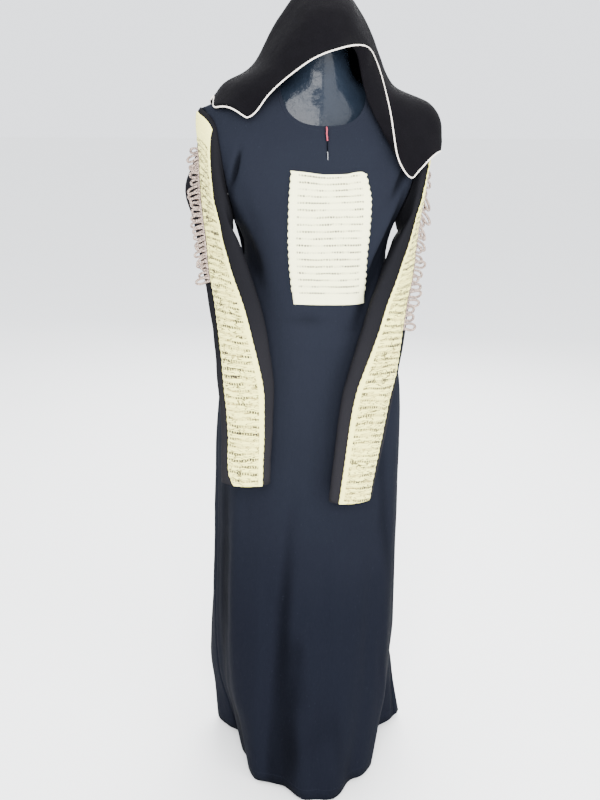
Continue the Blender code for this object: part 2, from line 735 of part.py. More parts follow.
def add_cord(data, path, radius, sides):
    """Add a capped tube along a path to a bmesh."""
    rings = []
    bend = (path[1] - path[0]).cross(path[2] - path[1])
    last_across = bend if bend.length > 1e-7 else Vector((1.0, 0.0, 0.0))
    for index, point in enumerate(path):
        to_here = (point - path[max(index - 1, 0)]).normalized()
        from_here = (path[min(index + 1, len(path) - 1)] - point).normalized()
        along = (to_here + from_here).normalized()
        across = (last_across - along * last_across.dot(along)).normalized()
        last_across = across
        other = along.cross(across)
        ring = []
        for step in range(sides):
            turn = 2.0 * math.pi * step / sides
            offset = across * math.cos(turn) + other * math.sin(turn)
            ring.append(data.verts.new(point + offset * radius))
        rings.append(ring)
    for near, far in zip(rings[:-1], rings[1:]):
        for step in range(sides):
            other_step = (step + 1) % sides
            data.faces.new((near[step], near[other_step], far[other_step], far[step]))
    data.faces.new(rings[0])
    data.faces.new(rings[-1])


def make_chest_panel(front_face, material):
    """The ribbed cream panel laid on the chest, with scalloped sides."""
    front = surface_of([front_face])
    low, high = CHEST_PANEL_Z
    downs = [row[0] for row in CHEST_SIDES]
    ribs = int(round((high - low) / RIB_PITCH))
    inner = []
    face = []
    for row in range(2 * ribs + 1):
        share = row / (2 * ribs)
        height = high - (high - low) * share
        ridge = row % 2 == 1
        scallop = SCALLOP if ridge else 0.0
        start = smooth_through(downs, [row[1] for row in CHEST_SIDES], share) - scallop
        end = smooth_through(downs, [row[2] for row in CHEST_SIDES], share) + scallop
        near = []
        far = []
        for strip in range(CHEST_STRIPS + 1):
            x = start + (end - start) * strip / CHEST_STRIPS
            place = front.ray_cast(Vector((x, -0.5, height)), Vector((0.0, 1.0, 0.0)))[0]
            slope = (depth_at(abs(x) + 0.002, height, FRONT) - depth_at(abs(x), height, FRONT)) / 0.002
            normal = Vector((-slope * math.copysign(1.0, x), -1.0, 0.0)).normalized()
            base = place + normal * CHEST_GAP
            raised = PANEL_CLOTH + (RIB_HEIGHT if ridge else 0.0)
            near.append(base)
            far.append(base + normal * raised)
        inner.append(near)
        face.append(far)
    wall_object("chest_panel", inner, face, material)


def make_neck_loop(front_face, material):
    """The small red loop that closes the slit at the neckline, lying on the front."""
    data = bmesh.new()
    front = surface_of([front_face])
    path = []
    for step in range(4):
        height = NECK_FRONT_Z - 0.001 - 0.022 * step / 3.0
        place = front.ray_cast(Vector((0.0, -0.5, height)), Vector((0.0, 1.0, 0.0)))[0]
        path.append(place - Vector((0.0, NECK_LOOP_RADIUS + 0.0006, 0.0)))
    add_cord(data, path, NECK_LOOP_RADIUS, 6)
    add_object("neck_loop", data, material)


def clear_of(point, worn, clearance):
    """Move a point of the hood out of the garment below it, and of the form's neck and cap."""
    tip = Vector((SHOULDER_TIP_X, 0.0, SHOULDER_TIP_Z))
    if (point - tip).length < HOOD_TIP_REACH:
        clearance = HOOD_TIP_CLEARANCE
    for _ in range(4):
        place, normal, _, distance = worn.find_nearest(point)
        off = (point - place).dot(normal)
        beside_edge = abs(off) < 0.7 * distance and distance > clearance
        if distance < 0.05 and off < clearance and not beside_edge:
            point = place + normal * clearance
    neck = 0.0
    top = FORM[-1][0]
    if point.z > top:
        up = min((point.z - top) / CAP_HEIGHT, 1.0)
        neck = CAP_FLAT + (CAP_RADIUS - CAP_FLAT) * math.sqrt(1.0 - up * up) if up < 1.0 else 0.0
    elif point.z > FORM[-5][0]:
        neck = smooth_through([row[0] for row in FORM], [row[2] for row in FORM], point.z)
    flat = Vector((point.x, point.y, 0.0))
    if neck and flat.length < neck + clearance:
        flat = flat.normalized() * (neck + clearance)
    return Vector((flat.x, flat.y, point.z))


def hood_main(row, share_across, worn):
    """One station of the hood, from its fold or piped edge to the hem behind."""
    edge_x, edge_y, edge_z, crest_x, crest_y, crest_z, _, _, lift = row
    start = Vector((edge_x, edge_y, edge_z))
    crest = Vector((crest_x, crest_y, crest_z))
    hem_x = HOOD_BACK_X * (2.0 * share_across - 1.0)
    hem_z = HOOD_BACK_Z + 0.05 * (hem_x / HOOD_BACK_X) ** 2
    hem = Vector((hem_x, depth_at(hem_x, hem_z, BACK, CLOTH) + 0.012, hem_z))
    arch = Vector((0.0, -0.010, 0.008))
    points = []
    for step in range(HOOD_FRONT_ROWS + 1):
        share = step / HOOD_FRONT_ROWS
        point = start.lerp(crest, share) + arch * math.sin(math.pi * share)
        points.append(clear_of(point, worn, HOOD_CLEARANCE))
    behind = crest + Vector((0.0, 0.060, lift))
    above = hem + Vector((0.0, 0.012, min(0.11, 0.45 * (crest_z - hem_z))))
    for step in range(1, HOOD_BACK_ROWS):
        t = step / HOOD_BACK_ROWS
        point = (crest * (1 - t) ** 3 + behind * 3 * t * (1 - t) ** 2
                 + above * 3 * t * t * (1 - t) + hem * t ** 3)
        points.append(clear_of(point, worn, HOOD_CLEARANCE))
    place, normal, _, _ = worn.find_nearest(hem)
    rise = 0.006 * (hem_x / HOOD_BACK_X) ** 2
    points.append(place + normal * (HOOD_HEM_CLEARANCE + rise))
    return points


def hood_flap(main, up, width, roll):
    """The front edge of one station, lying flat at 0 degrees or turned back at 180; edge first."""
    angle = math.radians(roll)
    forward = main[0] - main[1]
    forward = (forward - up * forward.dot(up)).normalized()
    layer = HOOD_LAYER * (1.0 - math.cos(angle)) / 2.0
    points = []
    for step in range(HOOD_FLAP_ROWS, 0, -1):
        length = width * step / HOOD_FLAP_ROWS
        rise = up * (length * math.sin(angle) + layer)
        if math.cos(angle) >= 0.0:
            points.append(main[0] + forward * length * math.cos(angle) + rise)
        else:
            points.append(along_path(main, -length * math.cos(angle)) + rise)
    turned = (up * math.cos(angle) - forward * math.sin(angle)).normalized()
    bend = (up * math.cos(angle / 2.0) - forward * math.sin(angle / 2.0)).normalized()
    return points, turned, bend


def along_path(points, length):
    """The point at a length along a path."""
    for near, far in zip(points[:-1], points[1:]):
        step = (far - near).length
        if length <= step:
            return near.lerp(far, length / step)
        length -= step
    return points[-1].copy()


def make_hood(worn, material, piping_material):
    """The hood with its short cape, and the piping all round its edge."""
    stations = [hood_main(row, c / (len(HOOD) - 1), worn) for c, row in enumerate(HOOD)]
    main = [list(points) for points in zip(*stations)]
    main_normals = grid_normals(main, False, lambda r, c, point: point - Vector((0.0, 0.0, 1.28)))
    grid = [[] for _ in range(HOOD_FLAP_ROWS)] + main
    normals = [[] for _ in range(HOOD_FLAP_ROWS)] + main_normals
    for c, row in enumerate(HOOD):
        points, turned, bend = hood_flap(stations[c], main_normals[0][c], row[-3], row[-2])
        for r, point in enumerate(points):
            grid[r].append(point)
            normals[r].append(turned)
        main_normals[0][c] = bend
    outer = offset_grid(grid, normals, HOOD_CLOTH)
    wall_object("hood", grid, outer, material)

    middle = [[(near + far) / 2.0 for near, far in zip(*rows)] for rows in zip(grid, outer)]
    last_row = len(grid) - 1
    last_column = len(stations) - 1
    border = [(0, c, 1, 0) for c in range(last_column + 1)]
    border += [(r, last_column, 0, -1) for r in range(1, last_row)]
    border += [(last_row, c, -1, 0) for c in range(last_column, -1, -1)]
    border += [(r, 0, 0, 1) for r in range(last_row - 1, 0, -1)]
    path = []
    for index, (r, c, in_r, in_c) in enumerate(border):
        before = border[index - 1]
        after = border[(index + 1) % len(border)]
        to_here = (middle[r][c] - middle[before[0]][before[1]]).normalized()
        from_here = (middle[after[0]][after[1]] - middle[r][c]).normalized()
        along = (to_here + from_here).normalized()
        away = middle[r][c] - middle[r + in_r][c + in_c]
        away = (away - along * away.dot(along)).normalized()
        corner = max(to_here.dot(along), 0.6)
        path.append(middle[r][c] + away * (PIPING_RADIUS + PIPING_GAP) / corner)
    curve = bpy.data.curves.new("hood_piping", "CURVE")
    curve.dimensions = "3D"
    curve.bevel_depth = PIPING_RADIUS
    curve.bevel_resolution = 1
    spline = curve.splines.new("POLY")
    spline.points.add(len(path) - 1)
    for point, place in zip(spline.points, path):
        point.co = (*place, 1.0)
    spline.use_cyclic_u = True
    curve.materials.append(piping_material)
    piping = bpy.data.objects.new("hood_piping", curve)
    bpy.context.scene.collection.objects.link(piping)


def make_turned(name, profile, steps, material):
    """A solid turned about the Z axis from a profile of (radius, height) pairs, bottom to top."""
    data = bmesh.new()
    verts = [data.verts.new((radius, 0.0, height)) for radius, height in profile]
    edges = [data.edges.new(pair) for pair in zip(verts[:-1], verts[1:])]
    bmesh.ops.spin(data, geom=verts + edges, cent=(0, 0, 0), axis=(0, 0, 1),
                   angle=2.0 * math.pi, steps=steps, use_merge=True)
    bmesh.ops.remove_doubles(data, verts=data.verts, dist=0.00001)
    return add_object(name, data, material)


def make_form(plastic, metal):
    """The limbless torso with its neck, the cap on the neck, the pole and the round base."""
    data = bmesh.new()
    rings = []
    for height, half_width, front, back, square in FORM:
        ring = []
        for step in range(FORM_SIDES):
            turn = 2.0 * math.pi * step / FORM_SIDES
            depth = front if math.cos(turn) > 0.0 else back
            across = math.copysign(abs(math.sin(turn)) ** (2.0 / square), math.sin(turn))
            forward = math.copysign(abs(math.cos(turn)) ** (2.0 / square), math.cos(turn))
            ring.append(data.verts.new((half_width * across, -depth * forward, height)))
        rings.append(ring)
    for near, far in zip(rings[:-1], rings[1:]):
        for step in range(FORM_SIDES):
            following = (step + 1) % FORM_SIDES
            data.faces.new((near[step], near[following], far[following], far[step]))
    data.faces.new(rings[0])
    data.faces.new(rings[-1])
    add_object("form_torso", data, plastic)

    neck_top = FORM[-1][0] + SEAM_GAP
    dome = [(0.0, neck_top), (CAP_RADIUS, neck_top)]
    dome += [(CAP_FLAT + (CAP_RADIUS - CAP_FLAT) * math.cos(math.radians(turn)),
              neck_top + CAP_HEIGHT * math.sin(math.radians(turn))) for turn in (18, 38, 58, 76, 90)]
    dome.append((0.0, neck_top + CAP_HEIGHT))
    make_turned("form_neck_cap", dome, 24, plastic)

    pole_foot = HUB_TOP + SEAM_GAP
    pole_top = FORM[0][0] - SEAM_GAP
    make_turned("form_pole", [(0.0, pole_foot), (POLE_RADIUS, pole_foot),
                              (POLE_RADIUS, pole_top), (0.0, pole_top)], 16, metal)
    make_turned("form_base", [(0.0, 0.0), (BASE_RADIUS, 0.0), (BASE_RADIUS, BASE_THICK * 0.6),
                              (BASE_RADIUS - 0.004, BASE_THICK), (HUB_RADIUS + 0.004, BASE_THICK + 0.003),
                              (HUB_RADIUS, BASE_THICK + 0.006), (HUB_RADIUS - 0.006, HUB_TOP),
                              (0.0, HUB_TOP)], 24, metal)


for old in list(bpy.data.objects):
    bpy.data.objects.remove(old, do_unlink=True)

black_cloth = make_material("black_cloth", (0.020, 0.026, 0.036), 0.85)
hood_cloth = make_material("hood_cloth", (0.016, 0.014, 0.017), 0.90)
cream_cloth = make_material("cream_cloth", (0.86, 0.80, 0.55), 0.75)
ivory_cord = make_material("ivory_cord", (0.80, 0.74, 0.66), 0.70)
red_cord = make_material("red_cord", (0.60, 0.03, 0.08), 0.60)
form_plastic = make_material("form_plastic", (0.030, 0.036, 0.050), 0.22)
form_metal = make_material("form_metal", (0.35, 0.35, 0.36), 0.40, 1.0)

kaftan_front, front_face, front_edges = make_body_panel(
    "kaftan_front", FRONT, (0, 14, 28, 42, 55, 66, 76, 84, 90), 5, black_cloth)
kaftan_back, back_face, back_edges = make_body_panel(
    "kaftan_back", BACK, (0, 30, 52, 68, 80, 90), 4, black_cloth)
make_slit(kaftan_front, black_cloth)

armhole_normals = {}
for (edge_side, edge_z), edge_normal in front_edges.items():
    armhole_normals[(edge_side, edge_z, False)] = edge_normal
for (edge_side, edge_z), edge_normal in back_edges.items():
    armhole_normals[(edge_side, edge_z, True)] = edge_normal

worn_faces = [front_face, back_face]
for sleeve_side, sleeve_name, sleeve_table in ((RIGHT, "right", RIGHT_SLEEVE), (LEFT, "left", LEFT_SLEEVE)):
    sleeve_outer, sleeve_out = make_sleeve("sleeve_" + sleeve_name, sleeve_table, sleeve_side,
                                           armhole_normals, black_cloth)
    worn_faces.append((sleeve_outer, sleeve_out, True))
    worn_faces.append(make_sleeve_panel("sleeve_panel_" + sleeve_name, sleeve_outer, sleeve_out,
                                        sleeve_side, cream_cloth))
    make_loop_trim("loop_trim_" + sleeve_name, sleeve_outer, sleeve_out, sleeve_side,
                   ivory_cord, cream_cloth)

make_chest_panel(front_face, cream_cloth)
make_neck_loop(front_face, red_cord)
make_hood(surface_of(worn_faces), hood_cloth, ivory_cord)
make_form(form_plastic, form_metal)
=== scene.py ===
"""Looks for a hooded kaftan on a limbless dress form. Metres, +Z up, the front faces -Y."""
import math

import bmesh
import bpy
from mathutils import Matrix, Vector, noise
from mathutils.bvhtree import BVHTree


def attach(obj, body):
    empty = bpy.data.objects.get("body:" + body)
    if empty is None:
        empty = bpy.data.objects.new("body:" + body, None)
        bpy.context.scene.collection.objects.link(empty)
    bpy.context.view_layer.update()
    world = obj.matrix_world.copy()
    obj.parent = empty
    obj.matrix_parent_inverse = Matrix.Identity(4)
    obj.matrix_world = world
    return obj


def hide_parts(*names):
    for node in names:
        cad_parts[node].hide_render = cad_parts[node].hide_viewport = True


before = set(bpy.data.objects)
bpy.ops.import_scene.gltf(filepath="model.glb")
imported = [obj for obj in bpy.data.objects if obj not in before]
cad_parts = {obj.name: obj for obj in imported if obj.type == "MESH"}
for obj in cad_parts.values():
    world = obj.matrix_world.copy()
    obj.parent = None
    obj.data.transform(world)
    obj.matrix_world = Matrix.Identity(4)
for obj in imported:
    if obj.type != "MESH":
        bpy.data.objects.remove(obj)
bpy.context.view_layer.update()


# The studio: a plain pale floor of matt paint, and soft light from the front, from above and from behind.
# The camera stands a little above the shoulders, towards the right sleeve, and looks down at the chest.

class Reading:
    """A number or colour that changes over a surface; sums on it add the Math nodes they need."""

    def __init__(self, finish, socket):
        self.finish = finish
        self.socket = socket

    def sum(self, operation, *values):
        return self.finish.add("Math", {"operation": operation}, dict(enumerate(values)))

    def __add__(self, other):
        return self.sum("ADD", self, other)

    def __radd__(self, other):
        return self.sum("ADD", other, self)

    def __sub__(self, other):
        return self.sum("SUBTRACT", self, other)

    def __rsub__(self, other):
        return self.sum("SUBTRACT", other, self)

    def __mul__(self, other):
        return self.sum("MULTIPLY", self, other)

    def __rmul__(self, other):
        return self.sum("MULTIPLY", other, self)

    def __truediv__(self, other):
        return self.sum("DIVIDE", self, other)

    def __rtruediv__(self, other):
        return self.sum("DIVIDE", other, self)

    def __abs__(self):
        return self.sum("ABSOLUTE", self)

    def wave(self):
        """1 at each whole number and 0 half way between, for stripes of any pitch."""
        return self.sum("COSINE", self * (2.0 * math.pi)) * 0.5 + 0.5

    def root(self):
        return self.sum("SQRT", self)

    def rise(self, low, high):
        """0 below low and 1 above high, with a soft step between."""
        return self.finish.add("MapRange", {"interpolation_type": "SMOOTHSTEP"},
                               {"Value": self, "From Min": low, "From Max": high})


class Finish:
    """One material: its nodes are added to it one by one, and lead to its shader."""

    def __init__(self, name, **constants):
        self.material = bpy.data.materials.new(name)
        self.material.use_nodes = True
        self.tree = self.material.node_tree
        self.shader = self.tree.nodes["Principled BSDF"]
        self.show({key.replace("_", " "): value for key, value in constants.items()})

    def feed(self, socket, value):
        if isinstance(value, Reading):
            self.tree.links.new(value.socket, socket)
        elif socket.type == "RGBA":
            socket.default_value = (*value[:3], 1.0)
        else:
            socket.default_value = value

    def add(self, kind, settings, sockets, output=0):
        node = self.tree.nodes.new("ShaderNode" + kind)
        for name, value in settings.items():
            setattr(node, name, value)
        for key, value in sockets.items():
            self.feed(node.inputs[key], value)
        return Reading(self, node.outputs[output])

    def place(self, stretch=(1.0, 1.0, 1.0)):
        """Where a point of the object is, in metres, with each axis stretched."""
        where = self.add("TexCoord", {}, {}, "Object")
        return self.add("Mapping", {}, {"Vector": where, "Scale": stretch})

    def axis(self, name):
        """How far a point of the object lies along one axis, in metres."""
        return self.add("SeparateXYZ", {}, {"Vector": self.place()}, name)

    def grain(self, size, detail=2.0, stretch=(1.0, 1.0, 1.0)):
        """Soft random grain from 0 to 1, whose grains are about this size in metres."""
        return self.add("TexNoise", {}, {"Vector": self.place(stretch), "Scale": 1.0 / size, "Detail": detail})

    def mark(self, name):
        """A number that the mesh carries at its points."""
        return self.add("Attribute", {"attribute_name": name}, {}, "Fac")

    def cut(self, axis):
        """One coordinate of the flat cut of the cloth, from the piece's own UV map."""
        flat = self.add("UVMap", {"uv_map": "cut"}, {})
        return self.add("SeparateXYZ", {}, {"Vector": flat}, axis)

    def mix(self, share, first, second):
        return self.add("Mix", {"data_type": "RGBA"}, {0: share, 6: first, 7: second}, 2)

    def show(self, values):
        for name, value in values.items():
            self.feed(self.shader.inputs[name], value)

    def emboss(self, height):
        """Raise the surface by a height in metres, as light sees it."""
        self.show({"Normal": self.add("Bump", {}, {"Strength": 1.0, "Distance": 1.0, "Height": height})})

    def dress(self, share, first, second, roughness, height):
        """Give the surface a mix of two colours, a roughness, and a relief in metres."""
        self.show({"Base Color": self.mix(share, first, second), "Roughness": roughness})
        self.emboss(height)


def in_scene(name, shown):
    """An object at the origin that holds this mesh, curve, lamp or camera."""
    piece = bpy.data.objects.new(name, shown)
    bpy.context.scene.collection.objects.link(piece)
    return piece


def keep(name, data, finish, smooth_angle=None):
    """Make an object at the origin from a bmesh, in one finish."""
    mesh = bpy.data.meshes.new(name)
    data.to_mesh(mesh)
    data.free()
    mesh.materials.append(finish.material)
    mesh.shade_smooth()
    if smooth_angle is not None:
        mesh.set_sharp_from_angle(angle=math.radians(smooth_angle))
    return in_scene(name, mesh)


def lamp(name, size, power, place, target):
    """A square lamp with soft light at a place, turned to a target."""
    light = bpy.data.lights.new(name, "AREA")
    light.size = size
    light.energy = power
    holder = in_scene(name, light)
    holder.location = place
    holder.rotation_euler = (Vector(target) - Vector(place)).to_track_quat("-Z", "Y").to_euler()


FLOOR_REACH = 12.0

floor_paint = Finish("floor_paint", Roughness=0.72)
floor_tone = floor_paint.mix(floor_paint.grain(0.4), (0.93, 0.93, 0.92), (0.95, 0.95, 0.94))
floor_paint.show({"Base Color": floor_tone})
floor_data = bmesh.new()
bmesh.ops.create_grid(floor_data, x_segments=1, y_segments=1, size=FLOOR_REACH)
studio_floor = keep("studio_floor", floor_data, floor_paint)

lamp("soft_box_key", 1.5, 215.0, (-0.5, -2.7, 2.4), (0.0, 0.0, 1.0))
lamp("soft_box_fill", 1.8, 80.0, (1.3, -2.3, 1.6), (0.0, 0.0, 0.8))
lamp("soft_box_top", 1.4, 90.0, (0.2, 0.7, 3.0), (0.0, 0.0, 1.2))
lamp("soft_box_back", 1.6, 80.0, (0.6, 2.4, 1.8), (0.0, 0.0, 0.9))
room = bpy.data.worlds.new("pale_room")
room.use_nodes = True
room_light = room.node_tree.nodes["Background"].inputs
room_light["Color"].default_value = (0.92, 0.95, 1.0, 1.0)
room_light["Strength"].default_value = 2.3
bpy.context.scene.world = room

CAMERA_AT = Vector((-0.336, -1.7924, 1.5))
CAMERA_BEARING = math.radians(10.0)
CAMERA_DROP = math.radians(21.0)
CAMERA_ROLL = math.radians(1.3)
# The lens: its focal length in pixels of the picture, then the picture's longer side in pixels and in mm.
LENS_PIXELS = 985.0
PICTURE_PIXELS = 800.0
PICTURE_MM = 36.0
lens = bpy.data.cameras.new("camera")
lens.lens = LENS_PIXELS * PICTURE_MM / PICTURE_PIXELS
camera = in_scene("camera", lens)
camera.matrix_world = (Matrix.Translation(CAMERA_AT) @ Matrix.Rotation(-CAMERA_BEARING, 4, "Z")
                       @ Matrix.Rotation(math.pi / 2.0 - CAMERA_DROP, 4, "X")
                       @ Matrix.Rotation(CAMERA_ROLL, 4, "Z"))
bpy.context.scene.camera = camera


# The dress form's stand: a round steel base with a turned hub, and a steel pole that is pressed into it.
# Both are satin lacquered, with the fine rings that a lathe leaves; the skirt hides nearly all of them.
BASE_RADIUS = 0.122
BASE_THICK = 0.010
HUB_RADIUS = 0.028
HUB_TOP = 0.036
POLE_RADIUS = 0.0125
POLE_TOP = 0.6996
POLE_PLUG = 0.020
EDGE_ROUND = 0.003
LATHE_PITCH = 0.0011

steel = Finish("satin_steel", Metallic=1.0, Base_Color=(0.35, 0.35, 0.36))
steel_x = steel.axis("X")
steel_y = steel.axis("Y")
steel_ring = ((steel_x * steel_x + steel_y * steel_y).root() / LATHE_PITCH).wave()
steel_scuff = steel.grain(0.015, 4.0)
steel.dress(steel_scuff, (0.30, 0.30, 0.31), (0.42, 0.42, 0.43), steel_scuff * 0.22 + 0.26,
            steel_ring * 0.00003 + steel_scuff * 0.00008)


def turned(name, profile, finish, steps=96, smooth_angle=35.0):
    """A closed solid turned about the Z axis from (radius, height) pairs, bottom to top."""
    data = bmesh.new()
    line = [data.verts.new((radius, 0.0, height)) for radius, height in profile]
    edges = [data.edges.new(pair) for pair in zip(line[:-1], line[1:])]
    bmesh.ops.spin(data, geom=line + edges, cent=(0, 0, 0), axis=(0, 0, 1),
                   angle=2.0 * math.pi, steps=steps, use_merge=True)
    bmesh.ops.remove_doubles(data, verts=data.verts, dist=0.00001)
    bmesh.ops.recalc_face_normals(data, faces=data.faces)
    return keep(name, data, finish, smooth_angle)


def fit(piece, slot, *nodes):
    """Fix a piece to the part's only body and hide the solids that it stands for; slot is not used."""
    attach(piece, "root")
    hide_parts(*nodes)


def rounded(radius, height, last):
    """Points of a profile's rounded edge about its centre, from its side up to an angle in degrees."""
    turns = [math.radians(last * step / 5.0) for step in range(6)]
    return [(radius + EDGE_ROUND * math.cos(turn), height + EDGE_ROUND * math.sin(turn)) for turn in turns]


base_profile = [(0.0, 0.0), (BASE_RADIUS - 0.002, 0.0), (BASE_RADIUS, 0.002)]
base_profile += rounded(BASE_RADIUS - EDGE_ROUND, BASE_THICK - 0.0035, 80.0)
base_profile += [(HUB_RADIUS + 0.010, BASE_THICK + 0.0016), (HUB_RADIUS + 0.003, BASE_THICK + 0.003),
                 (HUB_RADIUS, BASE_THICK + 0.006), (HUB_RADIUS - 0.005, HUB_TOP - 0.003)]
base_profile += rounded(HUB_RADIUS - 0.0085, HUB_TOP - EDGE_ROUND, 90.0)
base_profile += [(POLE_RADIUS + 0.002, HUB_TOP), (0.0, HUB_TOP)]
fit(turned("stand_base", base_profile, steel), "form_metal", "form_base")
fit(turned("stand_pole", [(0.0, HUB_TOP + 0.0004), (POLE_RADIUS, HUB_TOP + 0.0004),
                          (POLE_RADIUS, POLE_TOP - POLE_PLUG),
                          (POLE_RADIUS - 0.0006, POLE_TOP - POLE_PLUG + 0.0005),
                          (POLE_RADIUS - 0.0006, POLE_TOP), (0.0, POLE_TOP)], steel), "form_metal", "form_pole")


# The dress form: a limbless hollow torso of glossy blue-black plastic with a plain neck, blow moulded in one.
# A domed plastic cap is pressed onto the neck; both are polished, with faint scuffs where clothes rub.
gloss = Finish("glossy_plastic", Coat_Weight=0.10, Coat_Roughness=0.06, Specular_IOR_Level=0.06)
rub = gloss.grain(0.05, 5.0)
ripple = gloss.grain(0.013, 2.0)
gloss.dress(rub, (0.006, 0.009, 0.015), (0.013, 0.018, 0.027), rub * 0.20 + 0.14,
            ripple * 0.0016 + gloss.grain(0.0015) * 0.00001)


def merged_copy(node):
    """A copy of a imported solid, with its loose triangles joined at their points."""
    data = bmesh.new()
    data.from_mesh(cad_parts[node].data)
    bmesh.ops.remove_doubles(data, verts=data.verts, dist=0.00002)
    return data


def pair_triangles(data, face_angle, shape_angle):
    """Join triangles to squares, up to a turn between the two and a skew of the square, in degrees."""
    bmesh.ops.join_triangles(data, faces=data.faces, cmp_seam=False, cmp_sharp=False, cmp_uvs=False,
                             cmp_vcols=False, cmp_materials=False,
                             angle_face_threshold=math.radians(face_angle),
                             angle_shape_threshold=math.radians(shape_angle))


def soften(piece, levels):
    """Round a mesh off with a subdivision surface."""
    curve = piece.modifiers.new("rounding", "SUBSURF")
    curve.levels = levels
    curve.render_levels = levels
    return piece


RIM_TURN = math.radians(55.0)
RIM_CREASE = 0.9
torso = merged_copy("form_torso")
pair_triangles(torso, 40.0, 50.0)
rim_crease = torso.edges.layers.float.new("crease_edge")
for edge in torso.edges:
    if edge.is_manifold and edge.calc_face_angle() > RIM_TURN:
        edge[rim_crease] = RIM_CREASE
fit(soften(keep("form_shell", torso, gloss), 2), "form_plastic", "form_torso")

CAP_FOOT = 1.5124
CAP_HEIGHT = 0.0440
CAP_RADIUS = 0.0455
CAP_EDGE = 0.001
CAP_FLAT = 0.010
CAP_STEPS = 16
cap_profile = [(0.0, CAP_FOOT), (CAP_RADIUS - CAP_EDGE, CAP_FOOT), (CAP_RADIUS, CAP_FOOT + CAP_EDGE)]
for step in range(1, CAP_STEPS + 1):
    turn = math.radians(90.0 * step / CAP_STEPS)
    cap_profile.append((CAP_FLAT + (CAP_RADIUS - CAP_FLAT) * math.cos(turn),
                        CAP_FOOT + CAP_HEIGHT * math.sin(turn)))
cap_profile.append((0.0, CAP_FOOT + CAP_HEIGHT))
fit(turned("form_cap", cap_profile, gloss), "form_plastic", "form_neck_cap")


# The kaftan's front and back: one length each of dull black crepe with a soft pebbled face, 1.6 mm thick here.
# They are joined at the shoulders and sides; the hem is turned up and stitched, and the neck is bound.
RIGHT = -1
LEFT = 1
FRONT = -1
BACK = 1
SIDES = ((RIGHT, "right"), (LEFT, "left"))
CLOTH = 0.0016
SEAM_GAP = 0.0004
HEM_HEIGHT = 0.012
NECK_SIDE_X = 0.075
NECK_SIDE_Z = 1.405
SHOULDER_TIP_X = 0.205
SHOULDER_TIP_Z = 1.355
NECK_FRONT_Z = 1.334
NECK_BACK_Z = 1.389
NECK_ROUNDNESS = 2.7
UNDERARM_Z = 1.165
ARMHOLE_DEPTH = 0.047
YOKE_ROWS = 4
NECK_FAN_REACH = 0.030
SLACK_REACH = 0.030
SKIRT_ROWS = 14
UNFOLDED_Z = 1.0
HANG_TOP = 1.02
HANG_REACH = 0.45
FINE = 4
# Steps of the mesh: the angles round half of each neckline, and the steps along each shoulder seam.
NECK_TURNS = {FRONT: (0, 14, 28, 42, 55, 66, 76, 84, 90), BACK: (0, 30, 52, 68, 80, 90)}
NECK_COLUMNS = {face: (len(turns) - 1) * FINE for face, turns in NECK_TURNS.items()}
SHOULDER_STEPS = {FRONT: 5 * FINE, BACK: 4 * FINE}
HEM_FOLD = 0.022
NECK_BINDING = 0.007
STITCH_PITCH = 0.0032
BODY_COLUMNS = ("height", "half_width", "front", "back", "squareness")
BODY = (
    (0.012, 0.150, 0.228, 0.150, 1.95),
    (0.100, 0.166, 0.218, 0.148, 2.00),
    (0.200, 0.183, 0.205, 0.145, 2.10),
    (0.350, 0.186, 0.187, 0.138, 2.20),
    (0.550, 0.183, 0.163, 0.130, 2.30),
    (0.740, 0.180, 0.142, 0.124, 2.30),
    (0.840, 0.173, 0.132, 0.116, 2.30),
    (0.930, 0.151, 0.124, 0.100, 2.30),
    (1.020, 0.132, 0.119, 0.086, 2.30),
    (1.090, 0.133, 0.121, 0.088, 2.30),
    (1.165, 0.150, 0.124, 0.094, 2.30),
    (1.230, 0.176, 0.118, 0.094, 2.25),
    (1.300, 0.197, 0.098, 0.084, 2.05),
    (1.355, 0.205, 0.076, 0.064, 1.75),
    (1.405, 0.075, 0.066, 0.057, 1.75),
)
# Each fold: its angle from the centre front towards +X, its spread, where it starts, and its depth at the hem.
FOLDS = (
    (-113.0, 15.0, 0.50, 0.046),
    (-84.0, 9.0, 0.34, -0.012),
    (-52.0, 10.0, 0.90, 0.010),
    (-30.0, 8.0, 0.78, -0.009),
    (-12.0, 8.0, 0.86, 0.006),
    (9.0, 9.0, 0.60, 0.012),
    (30.0, 8.0, 0.92, -0.008),
    (50.0, 10.0, 0.82, 0.009),
    (76.0, 8.0, 0.30, -0.012),
    (97.0, 12.0, 0.23, 0.085),
    (133.0, 9.0, 0.70, -0.012),
    (154.0, 10.0, 0.95, 0.014),
    (178.0, 9.0, 0.85, -0.010),
    (-158.0, 10.0, 0.95, 0.014),
    (-137.0, 9.0, 0.75, -0.012),
)
CREASE_FULLNESS = 1.5
# Where these creases and the drape's soft folds sink in, the crepe darkens them with painted shade.
# Pulled creases of the front, each from one (x, z) to another, with its half width and depth.
CREASES = (
    (-0.147, 1.290, -0.170, 1.200, 0.0042, -0.0075),
    (-0.166, 1.235, -0.118, 1.120, 0.010, 0.0050),
    (-0.150, 1.190, -0.104, 1.045, 0.011, -0.0050),
    (-0.152, 1.215, -0.116, 1.090, 0.020, -0.0030),
    (0.160, 1.285, 0.113, 1.190, 0.009, -0.0055),
    (0.140, 1.240, 0.082, 1.100, 0.011, 0.0055),
    (0.122, 1.170, 0.060, 0.985, 0.012, -0.0050),
    (0.156, 1.230, 0.108, 1.070, 0.021, -0.0032),
    (0.105, 1.300, 0.060, 1.290, 0.010, 0.0016),
    (-0.105, 1.300, -0.060, 1.288, 0.010, 0.0016),
    (-0.075, 1.000, 0.060, 0.985, 0.012, -0.0022),
    (-0.040, 0.965, 0.085, 0.945, 0.014, 0.0020),
)
ARM_ANGLES = (0, 22, 44, 68, 90, 112, 142, 180, 218, 248, 270, 292, 316, 338, 360)


